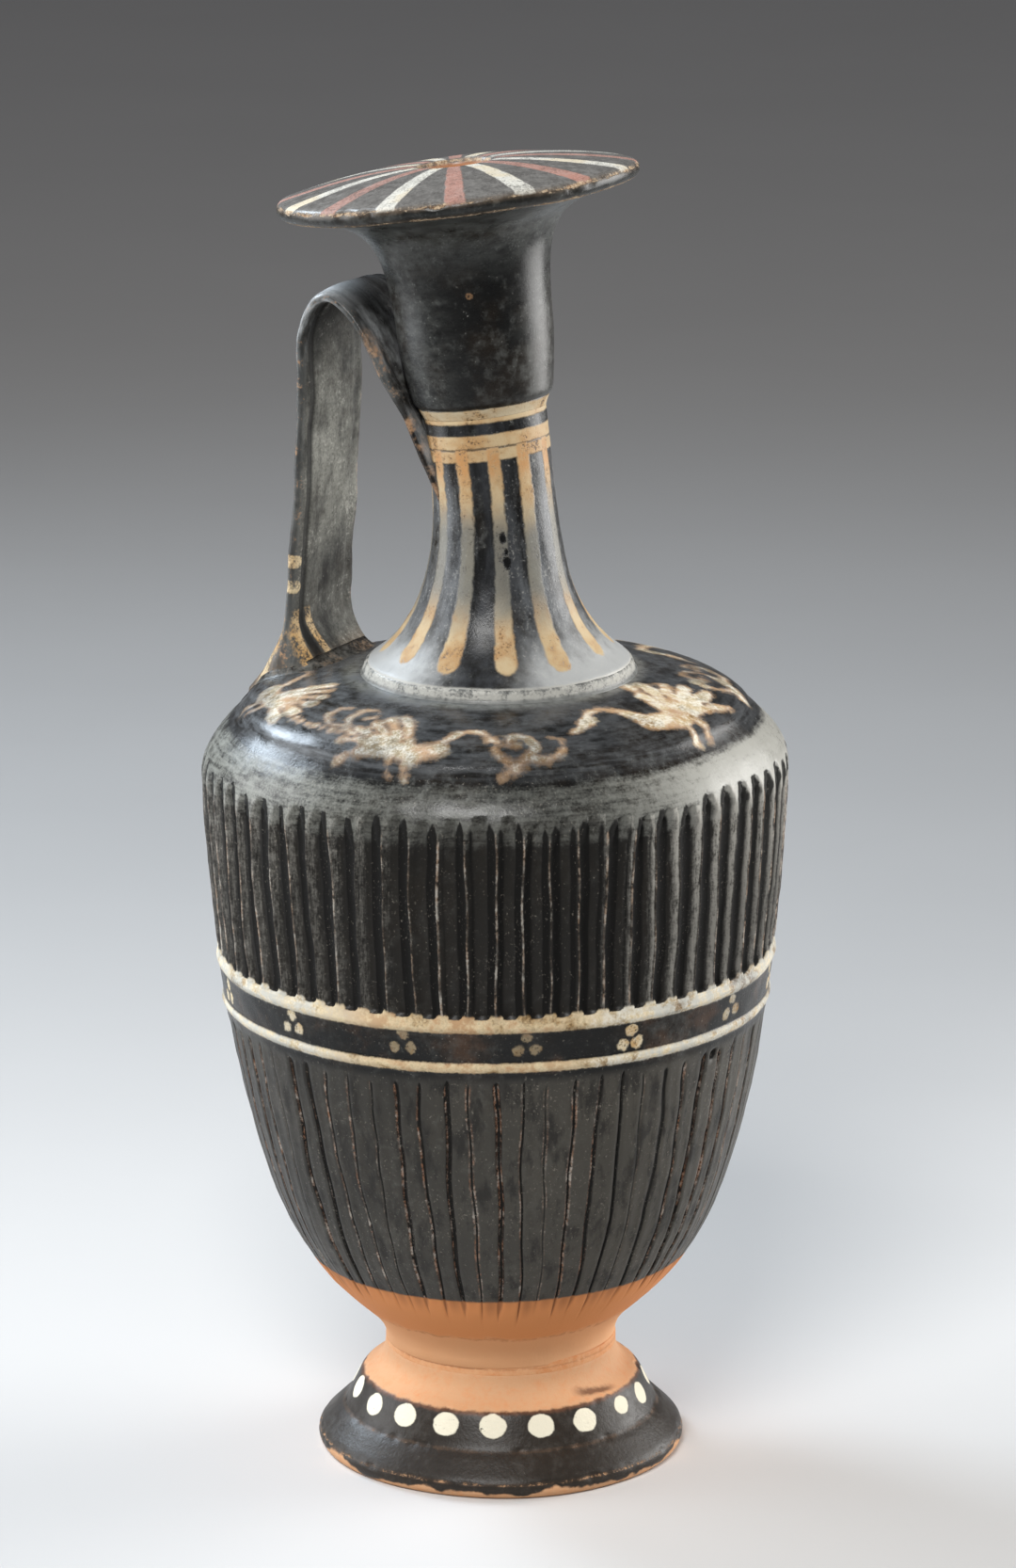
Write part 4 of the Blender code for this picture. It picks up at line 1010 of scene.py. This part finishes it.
mouth_glaze = Glaze("mouth_black_gloss")
place, x, y, z = turned_place(mouth_glaze)
angle, radius = round_axis(x, y)
black, roughness, mottle, speck = fired_black(mouth_glaze, place, 0.6)
patch = mouth_glaze.noise(place, 0.12, 3)
along_rim = mouth_glaze.noise(stretched(mouth_glaze, place, (0.5, 0.5, 2.2)), 0.8, 4, 0.65)
wiped = mouth_glaze.noise(stretched(mouth_glaze, place, (0.5, 0.5, 1.0)), 0.55, 5, 0.7)
rim = mouth_glaze.mark("rim")
hole = mouth_glaze.mark("hole")
on_top = z.rise(34.6, 35.2)
ray_number, across_ray = cells(angle, RAYS, 0)
off_ray = abs(across_ray * (radius * (math.tau / RAYS))) - 0.74 - 0.032 * radius
ray = (off_ray + mottle - 0.5).rise(0.18, -0.18) * on_top
ray = ray * radius.rise(HOLE_RADIUS + 0.5, HOLE_RADIUS + 1.4)
ray_paint = ray * (patch * 0.4 + mottle * 0.5 + speck * 0.6).rise(0.46, 0.86)
ray_red = (ray_number % 2).rise(0.6, 0.4)
ray_colour = mouth_glaze.blend(WHITE, BRICK, ray_red)
ray_colour = mouth_glaze.blend(ray_colour, CREAM, (1 - ray_red) * patch.rise(0.45, 0.6) * 0.7)
chipped = rim + along_rim * 1.1 + speck * 0.5 + 0.5 * (patch - 0.5) + 0.07 * z.rise(34, 33)
chipped = chipped.rise(1.68, 1.88)
hole_worn = (hole * 0.95 + mottle * 0.9 + 0.4 * (patch - 0.5)).rise(1.20, 1.42)
# The disc's top is painted paler: dust, with a painted sheen of the light on its upturned face.
black = mouth_glaze.blend(black, DISC_DUST_SHEEN, on_top * (0.2 + 0.6 * mottle + 0.5 * speck))
black = mouth_glaze.blend(black, RIM_BROWN, (rim * (0.3 + 0.9 * mottle)).rise(0.35, 0.9) * 0.7)
crusted = (0.6 * speck + 0.4 * mottle).rise(0.52, 0.72)
under_lip = z.near(28.0, 4.6, 4.0) * (0.5 * wiped.rise(0.25, 0.75) + 0.65 * crusted)
# Painted sheen, textured like crust, on both sides of the trumpet below the disc; the crust under the lip is
# a deposit.
sheen_sides = abs(angle - 8).near(62, 30, 22) * z.rise(35, 30)
crust_and_sheen = under_lip.most(sheen_sides * (0.5 * wiped.rise(0.3, 0.8) + 0.5 * crusted) * 0.62)
black = mouth_glaze.blend(black, LIP_CRUST_SHEEN, crust_and_sheen)
colour = mouth_glaze.blend(black, ray_colour, ray_paint)
colour = mouth_glaze.blend(colour, DISC_FILM, on_top * (mottle + 0.7 * speck).rise(0.7, 1.1) * 0.4)
chip_colour = mouth_glaze.blend(CHIP_BROWN, CHIP_CREAM, (speck + 0.5 * mottle).rise(0.6, 0.9))
colour = mouth_glaze.blend(colour, chip_colour, chipped.most(hole_worn) * 0.85)
inside = radius.rise(HOLE_RADIUS + 0.25, HOLE_RADIUS - 0.05) * z.rise(30, 34)
colour = mouth_glaze.blend(colour, ORANGE, inside * 0.8)
to_pock = distance(angle * (MOUTH_WAIST[0] * math.pi / 180), z - POCK_HEIGHT) + speck - 0.5
colour = mouth_glaze.blend(colour, TAN, to_pock.rise(0.66, 0.3) * 0.5)
colour = mouth_glaze.blend(colour, BLACK, to_pock.rise(0.38, 0.12) * 0.8)
roughness = roughness + (0.74 - roughness) * ray_paint.most(chipped).most(hole_worn)
mouth_glaze.coat(colour, roughness, 0.02 * speck + 0.05 * ray_paint - 0.08 * chipped)
mouth_marks = {"turned": mouth_straight, "rim": rim_mark, "hole": hole_mark}
mouth_points = set_on_neck(mouth_shape + [0, 0, MOUTH_BASE])
mouth = clay_piece("disc_mouth", mouth_points, True, mouth_glaze, mouth_marks)
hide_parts("mouth")

# Handle: a strap pulled from a lump of clay, grooved along its edges by the potter's fingers and bent in one
# arch from under the mouth to the shoulder, where its root spreads. Glossed black, much rubbed, with a few
# dabs of cream.
HANDLE_TURN = math.radians(150)
HANDLE_HALF_WIDTH = 9.5
HANDLE_HALF = 1.4
HANDLE_ARCH = (25.0, 17.7)
HANDLE_REACH = 30.1
HANDLE_DROP = 1.0
HANDLE_SLOPE = math.radians(63)
ROOT_REACH = 34.5
ROOT_FLARE = 7.6
ROOT_RISE = 10.5
STRAP_SPACING = 0.3
STRAP_SIDES = 64
STRAP_ROWS = 190
EDGE_DOTS = (18.6, 14.3)  # heights above the root
ROOT_TONGUES = ((-8.3, -0.12), (-5.2, 0.10))  # place across the strap, and lean
STRAP_DUST = (0.225, 0.225, 0.20, 1)
STRAP_BLOOM_HIGHLIGHT = (0.52, 0.54, 0.55, 1)
EDGE_GREY_SHEEN = (0.13, 0.135, 0.132, 1)
EDGE_HIGHLIGHT = (0.46, 0.48, 0.49, 1)
UNDERCUT_SHADE = (0.0035, 0.003, 0.0026, 1)
WEB_BROWN = (0.30, 0.18, 0.085, 1)

outward_axis = np.array([math.cos(HANDLE_TURN), math.sin(HANDLE_TURN), 0])
sideways_axis = np.array([math.sin(HANDLE_TURN), -math.cos(HANDLE_TURN), 0])
upward_axis = np.array([0, 0, 1])
dome_path = body_path[np.argmax(body_path[:, 1] > BELLY[1]):]


def dome_height(reach):
    """Height of the shoulder's surface, above the body's base, at a distance from its axis."""
    return np.interp(-reach, -dome_path[:, 0], dome_path[:, 1])


def neck_view(points):
    """Points in the body's straight frame, seen along the neck's upper, straight stretch: (x, y, height)."""
    x, y, z = np.moveaxis(points - [NECK_OFFSET, 0, NECK_SEAT], -1, 0)
    toward, beside = math.cos(BEND_TURN), math.sin(BEND_TURN)
    sine, cosine = math.sin(NECK_BEND), math.cos(NECK_BEND)
    along_bend = x * toward + y * beside - BEND_RADIUS * (1 - cosine)
    above = z - BEND_START - BEND_RADIUS * sine
    straight_along = along_bend * cosine - above * sine
    across_bend = y * toward - x * beside
    seen_x = straight_along * toward - across_bend * beside
    seen_y = straight_along * beside + across_bend * toward
    return np.stack([seen_x, seen_y, BEND_END + along_bend * sine + above * cosine], -1)


neck_top = NECK_SEAT + NECK_LENGTH
lean_out = BEND_RADIUS * (1 - math.cos(NECK_BEND))
lean_out += (NECK_LENGTH - HANDLE_DROP - BEND_END) * math.sin(NECK_BEND)
lute = np.array([lean_out + NECK_OFFSET * outward_axis[0] + NECK_RADIUS, neck_top - HANDLE_DROP])
leave = np.array([math.cos(HANDLE_SLOPE), math.sin(HANDLE_SLOPE)])
top = np.array([HANDLE_ARCH[0], neck_top + HANDLE_ARCH[1]])
bend = HANDLE_REACH - HANDLE_ARCH[0]
elbow = np.array([HANDLE_REACH, top[1] - 1.6 * bend])
root = np.array([ROOT_REACH, dome_height(ROOT_REACH)])
drop = elbow[1] - root[1]
span = top - lute
strap_path = np.concatenate([
    [lute - leave * NECK_RADIUS / leave[0], lute],
    curve(lute, lute + 0.5 * span[1] * leave, top - [0.32 * span[0], 0], top),
    curve(top, top + [0.55 * bend, 0], elbow + [0, 0.7 * bend], elbow),
    curve(elbow, elbow - [0, 0.35 * drop], root + [-0.35 * (ROOT_REACH - HANDLE_REACH), 0.25 * drop], root),
    [root - [0, 2 * BODY_WALL]],
])
route = evened(strap_path, STRAP_SPACING, 4)
strap_length = lengths(route)
ahead = np.gradient(route, axis=0)
ahead /= np.hypot(*ahead.T)[:, None]
past_arch = (np.arange(len(route)) > np.argmax(route[:, 1]))[:, None]


def root_spread(reach):
    """How far the root spreads along the route, on the side that meets the shoulder at a reach."""
    start = root[1] + ROOT_RISE
    share = np.clip((start - route[:, 1:]) / (start - dome_height(reach)), 0, 1)
    return ROOT_FLARE * share**2 * past_arch


section_turn = np.linspace(0, math.tau, STRAP_SIDES, endpoint=False)
cosine, sine = np.cos(section_turn), np.sin(section_turn)
side = np.sign(cosine) * abs(cosine) ** 0.62
face = np.sign(sine) * abs(sine) ** 0.72
outer_spread = root_spread(ROOT_REACH + ROOT_FLARE)
inner_spread = root_spread(ROOT_REACH - ROOT_FLARE)
from_lute = strap_length[:, None] - lengths(strap_path)[1]
half_width = HANDLE_HALF_WIDTH + 0.15 * inner_spread - 1.4 * np.clip(1 - from_lute / 9, 0, 1) ** 2
across = half_width * side
thickness = HANDLE_HALF + np.where(face > 0, outer_spread, inner_spread)
finger_groove = 0.34 * np.exp(-(((abs(across) - half_width + 2.7) / 0.55) ** 2))
finger_groove = finger_groove + 0.4 * (1 - side**2) * (face < 0)
out_from_middle = thickness * face - np.sign(face) * finger_groove
facing = outward_axis * -ahead[:, 1:] + upward_axis * ahead[:, :1]
middle = outward_axis * route[:, :1] + upward_axis * route[:, 1:]
strap = middle[:, None] + across[..., None] * sideways_axis + out_from_middle[..., None] * facing[:, None]
strap += (0.16 * ripple(strap, 9, 41) + 0.05 * ripple(strap, 2.5, 42))[..., None] * facing[:, None]

seen = neck_view(strap)
off_axis = np.hypot(seen[..., 0], seen[..., 1])
mouth_radius = np.interp(seen[..., 2] - MOUTH_BASE, mouth_path[:60, 1], mouth_path[:60, 0])
push = np.clip(mouth_radius + LAP - off_axis, 0, 3) * (seen[..., 2] > MOUTH_BASE - 0.4)
strap += push[..., None] * outward_axis


def first_crossing(inside):
    """Row, with its fraction, at which each line of the strap leaves what is below 0, from the first row."""
    row = len(inside) - 1 - np.argmax((inside < 0)[::-1], axis=0)
    columns = np.arange(inside.shape[1])
    before, after = inside[row, columns], inside[np.minimum(row + 1, len(inside) - 1), columns]
    return row + before / (before - after)


near_neck = len(route) // 3
neck_row = first_crossing((off_axis - NECK_RADIUS + 0.45)[:near_neck])
above_dome = strap[..., 2] - dome_height(np.hypot(strap[..., 0], strap[..., 1])) + 0.35
shoulder_row = len(route) - 1 - first_crossing(above_dome[:near_neck:-1])
kept_rows = neck_row + (shoulder_row - neck_row) * np.linspace(0, 1, STRAP_ROWS)[:, None]


def strap_at(values, rows):
    """Values along each line of the strap, read at fractional rows."""
    low = np.clip(np.floor(rows).astype(int), 0, len(values) - 2)
    part = rows - low
    lines = np.arange(STRAP_SIDES)
    if values.ndim == 3:
        part = part[..., None]
    return values[low, lines] * (1 - part) + values[low + 1, lines] * part


from_root = np.broadcast_to(strap_length[-1] - 2 * BODY_WALL - strap_length[:, None], across.shape)
strap_straight = strap_at(np.stack([across, out_from_middle, from_root], -1), kept_rows)

handle_glaze = Glaze("handle_black_gloss")
place, x, y, z = turned_place(handle_glaze)
black, roughness, mottle, speck = fired_black(handle_glaze, place, 0.8, (1.2, 1.2, 0.14))
patch = handle_glaze.noise(place, 0.1, 4)
hazy = handle_glaze.noise(stretched(handle_glaze, place, (1, 1, 0.3)), 0.3, 5, 0.65)
inner_face = y.rise(-0.3, -0.9)
outer_face = y.rise(0.2, 0.8)
arched = z.rise(50, 58) * z.rise(72, 64)
dusty = inner_face * (patch * 0.7 + hazy * 0.8).rise(0.5, 0.95)
dusty = dusty * (0.35 + 0.75 * speck + 0.55 * mottle).rise(0.55, 1.15)
dusty = dusty * (0.15 + 0.85 * z.rise(62, 42)) * (0.5 + 0.5 * z.rise(16, 30))
black = handle_glaze.blend(black, STRAP_DUST, dusty)
flecked = inner_face * (0.7 * speck + 0.8 * mottle + 0.9 * (patch - 0.5)).rise(0.86, 1.1)
black = handle_glaze.blend(black, LIME, flecked * 0.45)
branched = z.rise(62, 70) * (0.2 + 0.6 * hazy + 0.4 * mottle).rise(0.55, 0.85)
# Bloom with a painted highlight over the strap's outer face, stronger towards the neck, and a painted
# highlight on the top of the arch.
outer_bloom_and_sheen = outer_face * (0.1 + hazy).rise(0.4, 0.85) * (0.16 + 0.3 * branched)
arch_highlight = arched * outer_face * x.rise(4, -7) * (0.3 + hazy + 0.3 * speck).rise(0.6, 0.95)
black = handle_glaze.blend(black, STRAP_BLOOM_HIGHLIGHT, outer_bloom_and_sheen.most(arch_highlight))
# Grey bloom with a painted sheen along the edge nearest the near side.
near_edge_sheen = x.rise(-8.0, -9.1) * (0.2 + hazy).rise(0.4, 0.9)
black = handle_glaze.blend(black, EDGE_GREY_SHEEN, near_edge_sheen * 0.7)
# Painted highlight along the near edge at the arch.
black = handle_glaze.blend(black, EDGE_HIGHLIGHT, x.rise(-7.5, -9.0) * arched * hazy.rise(0.4, 0.62) * 0.8)
# Painted shadow under the rolled near edge, on the inner face.
undercut_shade = x.near(-6.9, 0.8, 0.35) * inner_face * (0.3 + hazy).rise(0.35, 0.7)
black = handle_glaze.blend(black, UNDERCUT_SHADE, undercut_shade * 0.9)
rubbed_edge = abs(x).rise(7.8, 9.4) * (speck * 0.7 + mottle * 0.8).rise(0.80, 1.0)
on_branch = z.rise(72, 80) * abs(x).rise(6.0, 9.0) * (mottle + 0.6 * patch).rise(0.75, 1.0)
black = handle_glaze.blend(black, TAN, (rubbed_edge * 0.7).most(on_branch * 0.8))

dots = 0
for dot_z in EDGE_DOTS:
    to_dot = distance((x + 9.0) * 0.7, z - dot_z) + 0.8 * (mottle - 0.5)
    dots = to_dot.rise(1.25, 0.95).most(dots)
tongues = 0
for tongue_x, lean in ROOT_TONGUES:
    tongues = (x - tongue_x - lean * (10 - z) + 0.8 * (mottle - 0.5)).near(0, 0.85, 0.2).most(tongues)
tongues = tongues * (z + 1.2 * (mottle - 0.5)).rise(10.6, 10.0)
paint = dots.most(tongues) * (mottle * 0.6 + speck * 0.6).rise(0.44, 0.70) * 0.85
web = z.rise(6, 0.5) * (patch + 0.5 * mottle).rise(0.6, 1.0) * 0.45
cream = handle_glaze.blend(OCHRE, CREAM, (patch + 0.3 * mottle).rise(0.5, 0.85))
colour = handle_glaze.blend(black, WEB_BROWN, web)
colour = handle_glaze.blend(colour, cream, paint)
roughness = roughness + (0.72 - roughness) * paint.most(rubbed_edge * 0.7).most(web)
roughness = roughness + (0.92 - roughness) * inner_face * 0.85
handle_glaze.coat(colour, roughness, 0.05 * speck + 0.06 * mottle + 0.05 * paint)
strap_points = leaned(strap_at(strap, kept_rows))
handle = clay_piece("strap_handle", strap_points, False, handle_glaze, {"turned": strap_straight})
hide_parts("handle")

# Handle joints: collars of slip smoothed from the strap onto the neck and the shoulder at its two ends,
# covered by the gloss and rubbed brown along their edges.
COLLAR_REACH = 1.5
COLLAR_ROWS = COLLAR_REACH / STRAP_SPACING
SUNK = 0.1  # how deep a collar's edge lies in the wall
COLLAR_GREY = (0.11, 0.108, 0.098, 1)
COLLAR_BROWN = (0.30, 0.17, 0.08, 1)


def loop_outward(flat):
    """Unit directions that point out of a closed flat loop [point, xy]."""
    tangent = np.roll(flat, -1, 0) - np.roll(flat, 1, 0)
    normal = np.stack([tangent[:, 1], -tangent[:, 0]], 1) / np.maximum(np.hypot(*tangent.T), 1e-6)[:, None]
    area = (flat[:, 0] * np.roll(flat[:, 1], -1) - np.roll(flat[:, 0], -1) * flat[:, 1]).sum()
    for _ in range(3):
        normal = (np.roll(normal, 1, 0) + 2 * normal + np.roll(normal, -1, 0)) / 4
    return normal * np.sign(area)


def from_neck_view(points):
    """The other way round from neck_view."""
    placed = set_on_neck(points) - [0, 0, BODY_BASE]
    sine, cosine = math.sin(BODY_LEAN), math.cos(BODY_LEAN)
    x, y, z = np.moveaxis(placed, -1, 0)
    return np.stack([cosine * x + sine * z, y, cosine * z - sine * x], -1)


def collar(name, on_strap, at_joint, on_wall):
    """A band with a hollow curve from the strap to the wall, closed behind."""
    rows = []
    for share in (0, 0.2, 0.4, 0.6, 0.8, 1):
        rows.append((1 - share) ** 2 * on_strap + 2 * share * (1 - share) * at_joint + share**2 * on_wall)
    behind = at_joint + 0.8 * (at_joint - rows[2])
    straight = np.stack([*rows, behind])
    return clay_piece(name, leaned(straight), True, collar_glaze, {"turned": straight})


collar_glaze = Glaze("handle_joint_slip")
place = collar_glaze.mark("turned", "Vector")
black, roughness, mottle, speck = fired_black(collar_glaze, place, 0.8)
patch = collar_glaze.noise(place, 0.22, 3)
browned = (patch * 0.7 + mottle * 0.6).rise(0.6, 0.85)
colour = collar_glaze.blend(black, COLLAR_GREY, (mottle + 0.5 * speck).rise(0.55, 0.95) * 0.8)
colour = collar_glaze.blend(colour, COLLAR_BROWN, browned * speck.rise(0.4, 0.6) * 0.5)
collar_glaze.coat(colour, roughness + 0.25 * browned, 0.08 * speck + 0.1 * mottle)

neck_loop = strap_at(strap, neck_row)
seen = neck_view(neck_loop)
loop_turn = np.arctan2(seen[:, 1], seen[:, 0])
loop_turn = HANDLE_TURN + (loop_turn - HANDLE_TURN + math.pi) % math.tau - math.pi
flat = np.stack([loop_turn * NECK_RADIUS, seen[:, 2]], 1)
flat = flat + COLLAR_REACH * loop_outward(flat)
flat[:, 1] = np.minimum(flat[:, 1], MOUTH_BASE - 0.3)
wall_turn = flat[:, 0] / NECK_RADIUS
wall_radius = NECK_RADIUS - SUNK
wall_line = np.stack([wall_radius * np.cos(wall_turn), wall_radius * np.sin(wall_turn), flat[:, 1]], -1)
upper_strap = strap_at(strap, neck_row + COLLAR_ROWS)
neck_collar = collar("handle_neck_joint", upper_strap, neck_loop, from_neck_view(wall_line))
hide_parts("handle_upper_luting_slip")

shoulder_loop = strap_at(strap, shoulder_row)
lower_strap = strap_at(strap, shoulder_row - COLLAR_ROWS)
flat = shoulder_loop[:, :2] + COLLAR_REACH * loop_outward(shoulder_loop[:, :2])
dome_line = np.column_stack([flat, dome_height(np.hypot(*flat.T)) - SUNK])
shoulder_collar = collar("handle_shoulder_joint", lower_strap, shoulder_loop, dome_line)
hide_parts("handle_lower_luting_slip")
